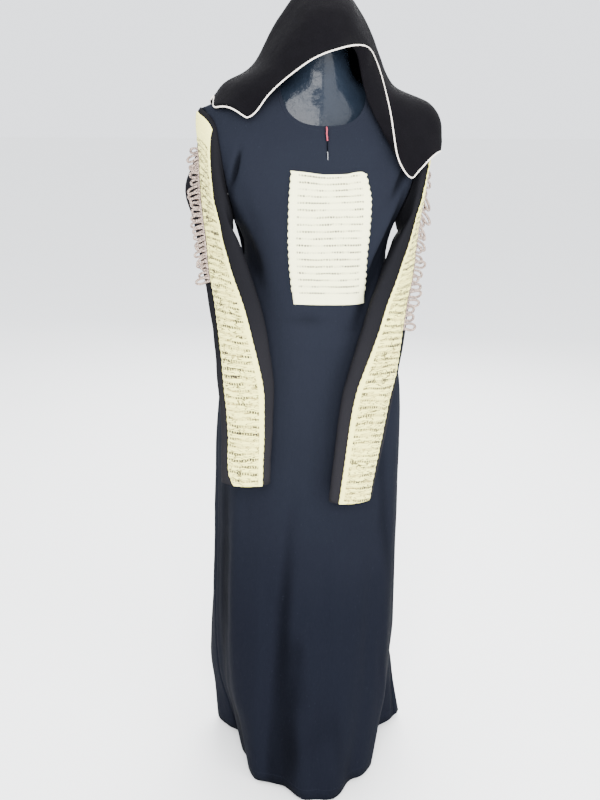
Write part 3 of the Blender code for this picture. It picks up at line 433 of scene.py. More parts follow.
def finer(values):
    """The same list with even steps put in between its values."""
    steps = [low + (high - low) * step / FINE for low, high in zip(values[:-1], values[1:])
             for step in range(FINE)]
    return steps + [values[-1]]


ARM = finer(ARM_ANGLES)[:-1]


def smooth_through(places, values, at):
    """Value at one place on a smooth curve through the values, with no overshoot."""
    last = len(places) - 1
    if at <= places[0]:
        return values[0]
    if at >= places[last]:
        return values[last]
    span = next(k for k in range(last) if at <= places[k + 1])
    slopes = [(values[k + 1] - values[k]) / (places[k + 1] - places[k]) for k in range(last)]

    def slope_at(k):
        if k == 0:
            return slopes[0]
        if k == last:
            return slopes[-1]
        if slopes[k - 1] * slopes[k] <= 0.0:
            return 0.0
        return 2.0 * slopes[k - 1] * slopes[k] / (slopes[k - 1] + slopes[k])

    width = places[span + 1] - places[span]
    t = (at - places[span]) / width
    rise = values[span] * (1 + 2 * t) * (1 - t) ** 2 + values[span + 1] * t * t * (3 - 2 * t)
    return rise + width * t * (1 - t) * (slope_at(span) * (1 - t) - slope_at(span + 1) * t)


def table_at(table, at, column=1):
    """One column of a table at a place in its first column, on a smooth curve."""
    return smooth_through([row[0] for row in table], [row[column] for row in table], at)


def limited(share):
    """A share, kept between 0 and 1."""
    return max(0.0, min(share, 1.0))


body_sizes = {}


def body_size(name, height):
    """One column of the body's table at a height; the shoulder line above the tip is straight."""
    key = (name, round(height, 6))
    if key not in body_sizes:
        if name == "half_width" and height > SHOULDER_TIP_Z:
            share = (height - SHOULDER_TIP_Z) / (NECK_SIDE_Z - SHOULDER_TIP_Z)
            body_sizes[key] = SHOULDER_TIP_X + (NECK_SIDE_X - SHOULDER_TIP_X) * share
        else:
            rows = [row for row in BODY if name != "half_width" or row[0] <= SHOULDER_TIP_Z]
            body_sizes[key] = table_at(rows, height, BODY_COLUMNS.index(name))
    return body_sizes[key]


def width_at(y, height):
    """Half the body's width at a distance to the front (y below zero) or back."""
    depth = body_size("front" if y < 0 else "back", height)
    square = body_size("squareness", height)
    share = min(abs(y) / depth, 1.0)
    return body_size("half_width", height) * (1.0 - share ** square) ** (1.0 / square)


def fold_depth(angle, height):
    """How far the skirt's folds stand out or in, at an angle from the centre front."""
    total = 0.0
    for centre, spread, start, depth in FOLDS:
        if height < start:
            away = (angle - centre + 180.0) % 360.0 - 180.0
            down = (start - height) / (start - HEM_HEIGHT)
            total += depth * down ** 1.1 * math.exp(-((away / spread) ** 2))
    return total


def turn_at(x, height):
    """How far round from the centre front or back a place is, from 0 to the side seam at 90."""
    share = min(x / body_size("half_width", height), 1.0)
    return math.degrees(math.asin(share ** (body_size("squareness", height) / 2.0)))


def body_point(turn, height, side, face):
    """A point of the body's inner face, with the skirt's folds."""
    power = 2.0 / body_size("squareness", height)
    x = body_size("half_width", height) * math.sin(math.radians(turn)) ** power
    depth = body_size("front" if face == FRONT else "back", height)
    y = face * depth * max(math.cos(math.radians(turn)), 0.0) ** power
    if turn > 89.999:
        y = 0.0
    angle = side * (turn if face == FRONT else 180.0 - turn)
    out = Vector((side * x, y, 0.0)).normalized()
    return Vector((side * x, y, height)) + out * fold_depth(angle, height)


def body_normal(point, face):
    """The direction straight out of the body, where it has no folds."""
    depth = "front" if face == FRONT else "back"
    step = 0.0015

    def reach(x, y, z):
        square = body_size("squareness", z)
        return (abs(x) / body_size("half_width", z)) ** square + (abs(y) / body_size(depth, z)) ** square

    x, y, z = point
    return Vector((reach(x + step, y, z) - reach(x - step, y, z),
                   reach(x, y + step, z) - reach(x, y - step, z),
                   reach(x, y, z + step) - reach(x, y, z - step))).normalized()


def armhole_point(angle, side):
    """A point of the armhole, from the shoulder tip round the front to the underarm and back."""
    turn = math.radians(angle)
    middle = (SHOULDER_TIP_Z + UNDERARM_Z) / 2.0
    height = middle + (SHOULDER_TIP_Z - UNDERARM_Z) / 2.0 * math.cos(turn)
    y = -ARMHOLE_DEPTH * math.sin(turn)
    return Vector((side * width_at(y, height), y, height))


def top_edge(face):
    """Half of a panel's top edge, from its centre to the shoulder tip, as (x, z) pairs."""
    dip = NECK_SIDE_Z - (NECK_FRONT_Z if face == FRONT else NECK_BACK_Z)
    points = []
    for turn in finer(NECK_TURNS[face]):
        out = math.sin(math.radians(turn)) ** (2.0 / NECK_ROUNDNESS)
        down = max(math.cos(math.radians(turn)), 0.0) ** (2.0 / NECK_ROUNDNESS)
        points.append((NECK_SIDE_X * out, NECK_SIDE_Z - dip * down))
    for step in range(1, SHOULDER_STEPS[face] + 1):
        share = step / SHOULDER_STEPS[face]
        points.append((NECK_SIDE_X + (SHOULDER_TIP_X - NECK_SIDE_X) * share,
                       NECK_SIDE_Z + (SHOULDER_TIP_Z - NECK_SIDE_Z) * share))
    return points


def row_ends(face):
    """Where each row of a panel ends, as (height, turn): down the armhole, then down the side seam."""
    angles = [angle for angle in ARM if angle <= 180]
    if face == BACK:
        angles = [0] + [angle for angle in reversed(ARM) if angle >= 180]
    ends = []
    for angle in angles:
        point = armhole_point(angle, LEFT)
        ends.append((point.z, 90.0 if angle in (0, 180) else turn_at(point.x, point.z)))
    for row in range(1, SKIRT_ROWS * FINE + 1):
        ends.append((UNDERARM_Z + (HEM_HEIGHT - UNDERARM_Z) * row / (SKIRT_ROWS * FINE), 90.0))
    return ends


def panel_grid(face):
    """The inner face of the front or back, from the neck and shoulders down to the hem."""
    top = top_edge(face)
    ends = row_ends(face)
    last = len(top) - 1

    def column(index, side):
        top_x, top_z = top[index]
        fan = min(index / NECK_COLUMNS[face], (last - index) / SHOULDER_STEPS[face]) ** 2
        points = []
        for row, (lowest, end_turn) in enumerate(ends):
            unsettled = max(1.0 - (row / (YOKE_ROWS * FINE)) ** 1.7, 0.0)
            height = lowest + (top_z - SHOULDER_TIP_Z) * unsettled
            reach = top_x + fan * min(top_z - height, NECK_FAN_REACH)
            even = end_turn * index / last
            turn = even + (turn_at(reach, height) - even) * unsettled
            points.append(body_point(end_turn if index == last else turn, height, side, face))
        return points

    columns = [column(index, RIGHT) for index in range(last, 0, -1)]
    columns += [column(index, LEFT) for index in range(last + 1)]
    return [list(points) for points in zip(*columns)], last


def grid_normals(grid, closed, outwards):
    """A unit vector off the surface at each point of a grid, on the side that outwards is on."""
    count = len(grid[0])
    normals = [[Vector() for _ in row] for row in grid]
    for r in range(len(grid) - 1):
        for c in range(count if closed else count - 1):
            d = (c + 1) % count
            face = (grid[r + 1][d] - grid[r][c]).cross(grid[r][d] - grid[r + 1][c])
            for i, j in ((r, c), (r, d), (r + 1, d), (r + 1, c)):
                normals[i][j] += face
    side = sum(normal.dot(outwards(r, c, grid[r][c]))
               for r, line in enumerate(normals) for c, normal in enumerate(line))
    return [[(normal if side > 0.0 else -normal).normalized() for normal in line] for line in normals]


def moved(grid, normals, distance):
    """The same grid, moved out along its normals by the distance at each row and column."""
    return [[point + normals[r][c] * distance(r, c) for c, point in enumerate(row)]
            for r, row in enumerate(grid)]


armhole_points = [armhole_point(angle, side) for angle in ARM for side in (RIGHT, LEFT)]


def slackness(point):
    """0 on the armhole's seam and at the neck, 1 where the cloth hangs free."""
    if point.z < UNDERARM_Z - 0.06:
        return 1.0
    near = min((point - place).length for place in armhole_points)
    return limited(near / SLACK_REACH) * limited((NECK_FRONT_Z - 0.006 - point.z) / SLACK_REACH)


def drape(point, face):
    """How far the cloth stands off its even shape: soft folds that grow downwards, and pulled creases."""
    x, y, z = point
    hang = limited((HANG_TOP - z) / HANG_REACH)
    soft = noise.noise((x * 17.0, y * 17.0, z * 1.1)) * 0.0085 * hang
    soft += noise.noise((x * 38.0 + 5.0, y * 38.0, z * 3.2 + z * x * 4.0)) * 0.0026 * hang
    soft += noise.noise((x * 21.0, y * 21.0 + 3.0, z * 13.0)) * 0.0013
    if face == FRONT:
        for x0, z0, x1, z1, wide, deep in CREASES:
            run = Vector((x1 - x0, z1 - z0))
            spot = Vector((x - x0, z - z0))
            share = limited(spot.dot(run) / run.length_squared)
            ridge = math.exp(-(((spot - run * share).length / wide) ** 2))
            soft += CREASE_FULLNESS * deep * math.sin(math.pi * (0.08 + 0.84 * share)) * ridge
    return soft * slackness(point)


def body_panel(face):
    """The front or back: its outer face, its normals, those at its armholes, and its folds' depths."""
    grid, half = panel_grid(face)
    underarm = len(grid) - 1 - SKIRT_ROWS * FINE
    normals = grid_normals(grid, False, lambda r, c, point: Vector((point.x, point.y, 0.02)))
    for r, row in enumerate(grid):
        for c, point in enumerate(row):
            across = abs(c - half)
            if point.z > UNFOLDED_Z:
                normals[r][c] = body_normal(point, face)
            if (across == half and (r == 0 or r >= underarm)) or (r == 0 and across >= NECK_COLUMNS[face]):
                normals[r][c].y = 0.0
                normals[r][c].normalize()
                point.y += face * SEAM_GAP / 2.0
    edges = {}
    for side in (RIGHT, LEFT):
        for r in range(underarm + 1):
            edges[(side, round(grid[r][half + side * half].z, 5))] = normals[r][half + side * half].copy()
    folds = [[drape(point, face) for point in row] for row in grid]
    outer = moved(grid, normals, lambda r, c: CLOTH + folds[r][c])
    return outer, normals, edges, folds


def give_wall(piece, wall):
    """Give a sheet its thickness, on its inner side."""
    thick = piece.modifiers.new("wall", "SOLIDIFY")
    thick.thickness = wall
    thick.offset = -1.0


def lay_out(name, grid, normals, wall, finish, tube=False, marks=None):
    """A sheet of cloth whose outer face passes through a grid of points, with its wall inside that.

    Its UV map holds the flat cut in metres, and marks adds numbers that its material reads.
    """
    rows = len(grid)
    count = len(grid[0])
    columns = count + (1 if tube else 0)
    middle = count // 2
    down = [0.0]
    for upper, lower in zip(grid[:-1], grid[1:]):
        down.append(down[-1] + (lower[middle] - upper[middle]).length)
    data = bmesh.new()
    bmesh.ops.create_grid(data, x_segments=columns - 1, y_segments=rows - 1, size=0.5)
    flat = data.loops.layers.uv.new("cut")
    layers = {mark: data.verts.layers.float.new(mark) for mark in (marks or {})}
    along = []
    for line in grid:
        sums = [0.0]
        for c in range(1, columns):
            sums.append(sums[-1] + (line[c % count] - line[c - 1]).length)
        along.append([place - sums[-1] / 2.0 for place in sums])
    spots = {}
    for vert in data.verts:
        r = int(round((0.5 - vert.co.y) * (rows - 1)))
        c = int(round((vert.co.x + 0.5) * (columns - 1)))
        spots[vert] = (r, c)
    for face in data.faces:
        for loop in face.loops:
            r, c = spots[loop.vert]
            loop[flat].uv = (along[r][c], down[r])
    for vert, (r, c) in spots.items():
        vert.co = grid[r][c % count]
        for mark, layer in layers.items():
            vert[layer] = marks[mark](r, c % count)
    data.normal_update()
    if sum(vert.normal.dot(normals[r][c % count]) for vert, (r, c) in spots.items()) < 0.0:
        bmesh.ops.reverse_faces(data, faces=data.faces)
    bmesh.ops.remove_doubles(data, verts=data.verts, dist=0.000002)
    piece = keep(name, data, finish)
    give_wall(piece, wall)
    return piece


def crepe(name, low, high, foot, top, fold, binding):
    """Dull crepe whose colour turns from one to another between two heights as painted light, with painted
    shade in its hollows.

    It has a pebbled face, faint upright slubs, flecks of lint, and a stitched hem fold and neck binding.
    """
    cloth = Finish(name, Sheen_Weight=0.001, Sheen_Roughness=0.4, Specular_IOR_Level=0.01)
    shade_waver = cloth.grain(0.16, 3.0)
    slub = cloth.grain(0.0014, 2.0, (1.0, 1.0, 0.12))
    pebble = cloth.grain(0.0011, 2.0)
    crinkle = cloth.grain(0.010, 3.0, (1.0, 1.0, 0.5))
    # Painted light and shade: the colour turns from low to high between the two heights, with a soft random
    # waver.
    shade = (cloth.axis("Z") + (shade_waver - 0.5) * 0.25).rise(foot, top)
    # Painted shade: where the drape sinks in, the colour is darkened towards a near-black copy of it.
    crease_shade = (0.0 - cloth.mark("fold")).rise(0.0002, 0.0066)
    base = cloth.mix(crease_shade * 0.72, cloth.mix(shade, low, high), tuple(channel * 0.22 for channel in low))
    hem = cloth.mark("above_hem")
    neck = cloth.mark("below_neck")
    hem_line = 1.0 - abs(hem - fold).rise(0.0003, 0.0008)
    neck_line = 1.0 - abs(neck - binding).rise(0.0003, 0.0008)
    stitch = (hem_line + neck_line) * (cloth.cut("X") / STITCH_PITCH).wave().rise(0.25, 0.5)
    doubled = 1.0 - hem.rise(fold + 0.0008, fold + 0.0022)
    doubled += 1.0 - neck.rise(binding + 0.0006, binding + 0.0018)
    fleck = cloth.grain(0.0042, 0.0).rise(0.80, 0.83)
    cloth.dress(fleck * 0.12 + stitch * 0.25 + (slub - 0.5) * 0.12, base,
                tuple(channel * 2.2 + 0.004 for channel in high), pebble * 0.16 + crinkle * 0.12 + 0.62,
                pebble * 0.00022 + slub * 0.00014 + crinkle * 0.0007 + doubled * 0.0004 + stitch * 0.0003)
    return cloth


# The kaftan is painted darker towards the hem and lighter up to the waist, where more light falls from above.
kaftan_crepe = crepe("kaftan_crepe", (0.0050, 0.0058, 0.0094), (0.0090, 0.0104, 0.0154), 0.34, 0.92,
                     HEM_FOLD, NECK_BINDING)


def edge_marks(grid, neck_columns, folds=None):
    """How far each point is above the hem and below the neck, along the cloth, and how deep its folds are."""
    heights = [[0.0] * len(grid[0])]
    for r in range(1, len(grid)):
        heights.append([heights[-1][c] + (grid[r][c] - grid[r - 1][c]).length for c in range(len(grid[0]))])
    half = len(grid[0]) // 2
    return {
        "above_hem": lambda r, c: heights[-1][c] - heights[r][c],
        "below_neck": lambda r, c: heights[r][c] if abs(c - half) <= neck_columns else 1.0,
        "fold": lambda r, c: folds[r][c] if folds else 0.0,
    }


front_grid, front_normals, front_edges, front_folds = body_panel(FRONT)
back_grid, back_normals, back_edges, back_folds = body_panel(BACK)
front_cloth = lay_out("front_cloth", front_grid, front_normals, CLOTH, kaftan_crepe,
                      marks=edge_marks(front_grid, NECK_COLUMNS[FRONT], front_folds))
back_cloth = lay_out("back_cloth", back_grid, back_normals, CLOTH, kaftan_crepe,
                     marks=edge_marks(back_grid, NECK_COLUMNS[BACK], back_folds))
fit(front_cloth, "black_cloth", "kaftan_front")
fit(back_cloth, "black_cloth", "kaftan_back")


# The slit at the centre front: cut 50 mm down from the neck and closed at the top by a small red bar.
# The bar is a cord wound with silk thread, sewn down at both ends; a light tack stops the slit's foot.
SLIT_LENGTH = 0.050
SLIT_WIDTH = 0.0016
BAR_RADIUS = 0.0014
BAR_LENGTH = 0.0215
BAR_WIND = 0.00045
BAR_STEPS = 8
TACK_STITCHES = 4
TACK_PITCH = 0.0035
TACK_LENGTH = 0.0030
TACK_RADIUS = 0.00035
CUTTER_DEPTH = 0.06
CUTTER_Y = -0.09


def settle(piece, *modifiers):
    """Work modifiers into a piece's mesh, one after another."""
    bpy.context.view_layer.objects.active = piece
    for modifier in modifiers:
        bpy.ops.object.modifier_apply(modifier=modifier)


slit = bmesh.new()
bmesh.ops.create_cube(slit, size=1.0)
bmesh.ops.scale(slit, vec=(SLIT_WIDTH, CUTTER_DEPTH, SLIT_LENGTH * 2.0), verts=slit.verts)
bmesh.ops.translate(slit, vec=(0.0, CUTTER_Y, NECK_FRONT_Z), verts=slit.verts)
slit_cutter = keep("slit_cutter", slit, kaftan_crepe)
slit_cut = front_cloth.modifiers.new("slit", "BOOLEAN")
slit_cut.operation = "DIFFERENCE"
slit_cut.object = slit_cutter
settle(front_cloth, "wall", "slit")
bpy.data.objects.remove(slit_cutter)


def surface(grid):
    """One face of a piece of cloth, to lay other pieces on."""
    columns = len(grid[0])
    points = [point for row in grid for point in row]
    squares = [(r * columns + c, r * columns + c + 1, (r + 1) * columns + c + 1, (r + 1) * columns + c)
               for r in range(len(grid) - 1) for c in range(columns - 1)]
    return BVHTree.FromPolygons(points, squares)


front_surface = surface(front_grid)


def on_front(x, height):
    """The place and outward direction of the front at a distance from its middle."""
    place, normal, _, _ = front_surface.ray_cast(Vector((x, -0.5, height)), Vector((0.0, 1.0, 0.0)))
    return place, (normal if normal.y < 0.0 else -normal)


def cords(name, paths, radius, finish, sides=2, closed=False):
    """Smooth round cords, each through a path of points, as one mesh with a UV map along them."""
    line = bpy.data.curves.new(name, "CURVE")
    line.dimensions = "3D"
    line.bevel_depth = radius
    line.bevel_resolution = sides
    line.use_fill_caps = not closed
    line.resolution_u = 5
    for path in paths:
        spline = line.splines.new("NURBS")
        spline.points.add(len(path) - 1)
        for point, place in zip(spline.points, path):
            point.co = (*place, 1.0)
        spline.order_u = 3
        spline.use_endpoint_u = not closed
        spline.use_cyclic_u = closed
    line.materials.append(finish.material)
    return in_scene(name, line)


red_silk = Finish("red_silk", Sheen_Weight=0.2, Specular_IOR_Level=0.6)
# The winding: ridges of thread, with painted shade in the dark grooves between its turns.
winding_and_shade = (red_silk.axis("Z") / BAR_WIND + red_silk.grain(0.002) * 0.7).wave()
red_silk.dress(winding_and_shade, (0.20, 0.006, 0.022), (0.48, 0.022, 0.065), 0.55 - winding_and_shade * 0.15,
               winding_and_shade * 0.00012)
bar_path = []
for step in range(BAR_STEPS + 1):
    bar_place, bar_out = on_front(0.0004 * math.sin(step * 1.1),
                                  NECK_FRONT_Z - 0.0015 - BAR_LENGTH * step / BAR_STEPS)
    sink = 0.0006 if step in (0, BAR_STEPS) else 0.0
    bar_path.append(bar_place + bar_out * (BAR_RADIUS + 0.0004 - sink))
neck_bar = cords("neck_bar", [bar_path], BAR_RADIUS, red_silk, 3)
fit(neck_bar, "red_cord", "neck_loop")

pale_thread = Finish("pale_thread", Roughness=0.6, Base_Color=(0.42, 0.43, 0.44))
pale_thread.emboss(pale_thread.grain(0.0006) * 0.00012)
tack_paths = []
for step in range(TACK_STITCHES):
    tack_top = NECK_FRONT_Z - SLIT_LENGTH + 0.010 - TACK_PITCH * step
    tack = [on_front(0.0004 * share, tack_top - TACK_LENGTH * share) for share in (0.0, 0.5, 1.0)]
    tack_paths.append([place + out * lift for (place, out), lift in zip(tack, (0.0001, 0.0007, 0.0001))])
slit_tack = cords("slit_tack", tack_paths, TACK_RADIUS, pale_thread)
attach(slit_tack, "root")


# The sleeves: long straight tubes of the same crepe, set in at the armholes and left open at the cuffs.
# They hang empty and drift in over the front; each cuff has a deep turned-up hem, held by one stitched line.
CUFF_FOLD = 0.050
HEAD_STEPS = 8
HEAD_CROWN = 0.006
# Steps below the head over which the cloth's crumples, and the right sleeve's folds, come in.
CRUMPLE_STEPS = 12
FOLD_STEPS = 5
# The right sleeve's outward folds: each one's height, its angle round the sleeve, its spreads, and its depth.
ELBOW_FOLDS = ((1.215, 300.0, 0.046, 34.0, 0.0210), (1.125, 304.0, 0.060, 36.0, 0.0080))
# Each ring: its middle (x outwards, y, z), its outward reach and that reach's lift, half its width from front
# to back, and how far its outward side is turned to the front, in degrees.
RIGHT_SLEEVE = (
    (0.184, -0.004, 1.210, 0.026, 0.070, 0.062, 12.0),
    (0.188, -0.012, 1.180, 0.021, 0.045, 0.061, 17.0),
    (0.181, -0.024, 1.147, 0.021, 0.022, 0.059, 24.0),
    (0.173, -0.042, 1.108, 0.020, 0.008, 0.057, 31.0),
    (0.166, -0.064, 1.068, 0.019, 0.000, 0.055, 40.0),
    (0.158, -0.088, 1.025, 0.019, 0.000, 0.054, 50.0),
    (0.152, -0.107, 0.980, 0.019, 0.000, 0.052, 59.0),
    (0.147, -0.123, 0.935, 0.019, 0.000, 0.050, 67.0),
    (0.144, -0.136, 0.890, 0.019, 0.000, 0.050, 72.0),
    (0.143, -0.145, 0.845, 0.019, 0.000, 0.047, 75.0),
    (0.143, -0.152, 0.800, 0.019, 0.000, 0.045, 77.0),
    (0.145, -0.158, 0.755, 0.019, 0.000, 0.044, 78.0),
    (0.146, -0.163, 0.708, 0.019, 0.000, 0.043, 78.0),
)
LEFT_SLEEVE = (
    (0.183, -0.004, 1.210, 0.025, 0.070, 0.062, 10.0),
    (0.180, -0.013, 1.180, 0.021, 0.045, 0.061, 15.0),
    (0.168, -0.028, 1.147, 0.021, 0.022, 0.060, 22.0),
    (0.155, -0.048, 1.108, 0.020, 0.008, 0.058, 31.0),
    (0.141, -0.073, 1.068, 0.019, 0.000, 0.057, 41.0),
    (0.125, -0.097, 1.025, 0.019, 0.000, 0.056, 50.0),
    (0.112, -0.117, 0.980, 0.019, 0.000, 0.054, 58.0),
    (0.099, -0.133, 0.935, 0.019, 0.000, 0.054, 65.0),
    (0.086, -0.146, 0.890, 0.019, 0.000, 0.054, 70.0),
    (0.075, -0.156, 0.845, 0.019, 0.000, 0.051, 74.0),
    (0.068, -0.163, 0.800, 0.019, 0.000, 0.048, 77.0),
    (0.061, -0.168, 0.750, 0.019, 0.000, 0.045, 78.0),
    (0.054, -0.173, 0.700, 0.019, 0.000, 0.043, 79.0),
    (0.050, -0.175, 0.668, 0.019, 0.000, 0.042, 80.0),
)


def sleeve_rings(table, side):
    """The inner face of a sleeve, ring by ring, and the directions off its armhole seam."""
    head = []
    seams = []
    for angle in ARM:
        point = armhole_point(angle, side)
        edges = back_edges if angle > 180 else front_edges
        normal = edges[(side, round(point.z, 5))]
        head.append(point + normal * (CLOTH + SEAM_GAP * 2.0))
        seams.append(normal)
    counts = list(range(len(table)))
    columns = list(zip(*table))
    rings = []
    for at in finer(counts):
        x, y, z, out, lift, wide, turn = (smooth_through(counts, column, at) for column in columns)
        tau = math.radians(turn)
        outer = Vector((side * out * math.cos(tau), -out * math.sin(tau), lift))
        front = Vector((-side * wide * math.sin(tau), -wide * math.cos(tau), 0.0))
        rings.append([Vector((side * x, y, z)) + outer * math.cos(math.radians(angle))
                      + front * math.sin(math.radians(angle)) for angle in ARM])
    first = []
    for step in range(HEAD_STEPS):
        share = step / HEAD_STEPS
        ring = []
        for point, target in zip(head, rings[0]):
            height_share = (point.z - UNDERARM_Z) / (SHOULDER_TIP_Z - UNDERARM_Z)
            crown = HEAD_CROWN * height_share * math.sin(math.pi * share ** 0.68)
            ring.append(point.lerp(target, share) + Vector((side * crown, 0.0, crown)))
        first.append(ring)
    return first + rings, seams


def sleeve_cloth(side, table):
    """A sleeve's outer face and normals, softly crumpled below its head."""
    rings, seams = sleeve_rings(table, side)
    centres = [sum(ring, Vector()) / len(ring) for ring in rings]
    normals = grid_normals(rings, True, lambda r, c, point: point - centres[r])
    for c, seam in enumerate(seams):
        inward = min(normals[0][c].dot(seam), 0.0)
        normals[0][c] = (normals[0][c] - seam * inward).normalized()

    def crumple(r, c):
        x, y, z = rings[r][c]
        soft = noise.noise((x * 30.0, y * 30.0, z * 7.0 + side)) * 0.0016
        soft += noise.noise((x * 22.0, y * 22.0, z * 42.0 + side * 3.0)) * 0.0009
        soft *= limited(r / CRUMPLE_STEPS)
        if side == RIGHT:
            for height, angle, tall, wide, deep in ELBOW_FOLDS:
                turn = (ARM[c] - angle + 180.0) % 360.0 - 180.0
                fold = math.exp(-((z - height) / tall) ** 2 - (turn / wide) ** 2)
                soft += deep * limited(r / FOLD_STEPS) * fold
        return CLOTH + soft

    return moved(rings, normals, crumple), normals


# The sleeves are painted lighter towards the cuffs and darker from the elbows up, as painted light and shade.
sleeve_crepe = crepe("sleeve_crepe", (0.0125, 0.0120, 0.0140), (0.0070, 0.0070, 0.0084), 0.74, 1.10,
                     CUFF_FOLD, -1.0)
sleeve_faces = {}
for side, side_name, table in ((RIGHT, "right", RIGHT_SLEEVE), (LEFT, "left", LEFT_SLEEVE)):
    sleeve_faces[side] = sleeve_cloth(side, table)
    sleeve_grid, sleeve_out = sleeve_faces[side]
    sleeve = lay_out("sleeve_cloth_" + side_name, sleeve_grid, sleeve_out, CLOTH, sleeve_crepe, True,
                     edge_marks(sleeve_grid, -1))
    fit(sleeve, "black_cloth", "sleeve_" + side_name)


# The sleeve bands: cream cotton gathered into narrow cross ribs, each held by a row of dark dotted stitches.
# Each band is laid on the outer side of its sleeve, from the shoulder to the cuff, and sewn down its edges.
BAND_CLOTH = 0.0012
LAID_GAP = 0.0008
RIB_PITCH = 0.0128
RIB_HEIGHT = 0.0009
RIB_STEPS = 8
BAND_START = 0.010
BAND_PLAIN = 0.052
BAND_PLAIN_STEPS = 12
BAND_COLUMNS = 18
BAND_OUTER_ANGLE = 316
BAND_FRONT_ANGLE = 44
BAND_SLANT = {RIGHT: -0.2, LEFT: 0.5}
BAND_SCALLOP = 0.0010
WEAVE_PITCH = 0.0008
DOT_PITCH = 0.0048
# How far each band's edges stand in from its widest, at lengths down the sleeve's outer line.
BAND_OUTER_INSET = {
    RIGHT: ((0.00, 2.00), (0.14, 2.05), (0.18, 1.84), (0.225, 1.58), (0.265, 1.23), (0.305, 0.86),
            (0.345, 0.56), (0.40, 0.30), (0.50, 0.00), (0.640, 0.00), (0.668, 0.16), (0.690, 0.75)),
    LEFT: ((0.00, 0.75), (0.385, 0.75), (0.50, 0.00)),
}
BAND_FRONT_INSET = ((0.17, 0.00), (0.24, 0.35), (0.40, 0.35), (0.52, 0.00))


def inset_at(table, length):
    """How far an edge of a band stands in at a length, in steps of the sleeve's mesh."""
    return FINE * table_at(table, length)


def outer_edge(side, length):
    """Where a band's outer edge lies round its sleeve."""
    return ARM.index(BAND_OUTER_ANGLE) - len(ARM) + inset_at(BAND_OUTER_INSET[side], length)


def strip_on(outer, normals, positions, places):
    """Points of a strip laid on a sleeve's outer face, at lengths down its outermost line."""
    count = len(outer[0])
    lengths = [0.0]
    for r in range(1, len(outer)):
        lengths.append(lengths[-1] + (outer[r][0] - outer[r - 1][0]).length)

    def between(grid, r, share, position):
        c = math.floor(position)
        part = position - c
        upper = grid[r][c % count].lerp(grid[r][(c + 1) % count], part)
        return upper.lerp(grid[r + 1][c % count].lerp(grid[r + 1][(c + 1) % count], part), share)

    points = []
    directions = []
    for length in places(lengths[-1]):
        r = next(k for k in range(len(lengths) - 1) if length <= lengths[k + 1] + 1e-9)
        share = (length - lengths[r]) / (lengths[r + 1] - lengths[r])
        steps = positions(length)
        points.append([between(outer, r, share, position) for position in steps])
        directions.append([between(normals, r, share, position).normalized() for position in steps])
    return points, directions


def band_positions(side):
    """Where a band's columns lie round its sleeve at a length, from its outer edge to its front edge."""
    def positions(length):
        start = outer_edge(side, length)
        end = ARM.index(BAND_FRONT_ANGLE) - inset_at(BAND_FRONT_INSET, length)
        return [start + (end - start) * step / BAND_COLUMNS for step in range(BAND_COLUMNS + 1)]

    return positions


def ribbed_cotton(name, cream, dirt_and_shade_colour, stitch_and_shade_colour, margins, gathered):
    """Ribbed cotton with a row of dotted stitches in each groove, between margins across the cloth.

    Its grooves are darkened along the stitch rows, partly for the stitches and partly as painted shade.
    Where it is gathered, the rows are broader and broken, and pulls run between them, darkened as painted
    shade.
    """
    cotton = Finish(name, Sheen_Weight=0.10, Specular_IOR_Level=0.25)
    run = cotton.cut("X")
    side = cotton.mark("across")
    waver = cotton.grain(0.007, 2.0)
    broken = cotton.grain(0.026, 2.0, (1.0, 1.0, 2.4)).rise(0.38, 0.58)
    groove = (cotton.mark("rib") + (waver - 0.5) * 0.12).wave()
    inside = (cotton.mark("ribbed") * side.rise(margins[0], margins[0] + 0.03)
              * (1.0 - side.rise(margins[1], margins[1] + 0.03)))
    line = groove.rise(0.74 - 0.12 * gathered, 0.90 - 0.10 * gathered) * inside
    dot = (run / DOT_PITCH + (waver - 0.5) * 0.8).wave().rise(0.16, 0.46) * line * (0.12 + broken * 0.88)
    pulled = abs(cotton.grain(0.020, 1.0, (1.0, 1.0, 4.2)) - 0.5)
    gather_and_shade = (1.0 - pulled.rise(0.016, 0.040)) * inside * gathered
    weave = (run / WEAVE_PITCH).wave() * 0.5 + (cotton.cut("Y") / WEAVE_PITCH).wave() * 0.5
    soil = cotton.grain(0.05, 3.0)
    crush = cotton.grain(0.0050, 3.0, (0.7, 0.7, 1.6))
    # Towards the second colour: grooves for stitches and painted shade, soil at random, and gathers' pulls as
    # painted shade.
    lit = cotton.mix(line * 0.30 + (soil - 0.3) * (0.20 + 0.30 * gathered) + gather_and_shade * 0.50, cream,
                     dirt_and_shade_colour)
    # The dots take the stitches' own dark colour; the gathers' pulls are darkened further towards it as painted
    # shade.
    cotton.dress(dot * 0.98 + gather_and_shade * (0.25 + broken * 0.60), lit, stitch_and_shade_colour,
                 weave * 0.10 + soil * 0.08 + 0.68,
                 weave * 0.00008 + crush * (0.0004 + 0.0008 * gathered) - dot * 0.0004 - gather_and_shade * 0.0005)
    return cotton


# The band's second colour stands for its soil and for painted shade in its grooves and pulls.
band_cotton = ribbed_cotton("band_cotton", (0.98, 0.93, 0.29), (0.50, 0.40, 0.12), (0.008, 0.006, 0.007),
                            (0.02, 0.84), 1.0)


def rib_shape(phase):
    """Height of a rounded rib, from 0 in a groove to 1 on its ridge."""
    return abs(math.sin(math.pi * phase)) ** 0.65


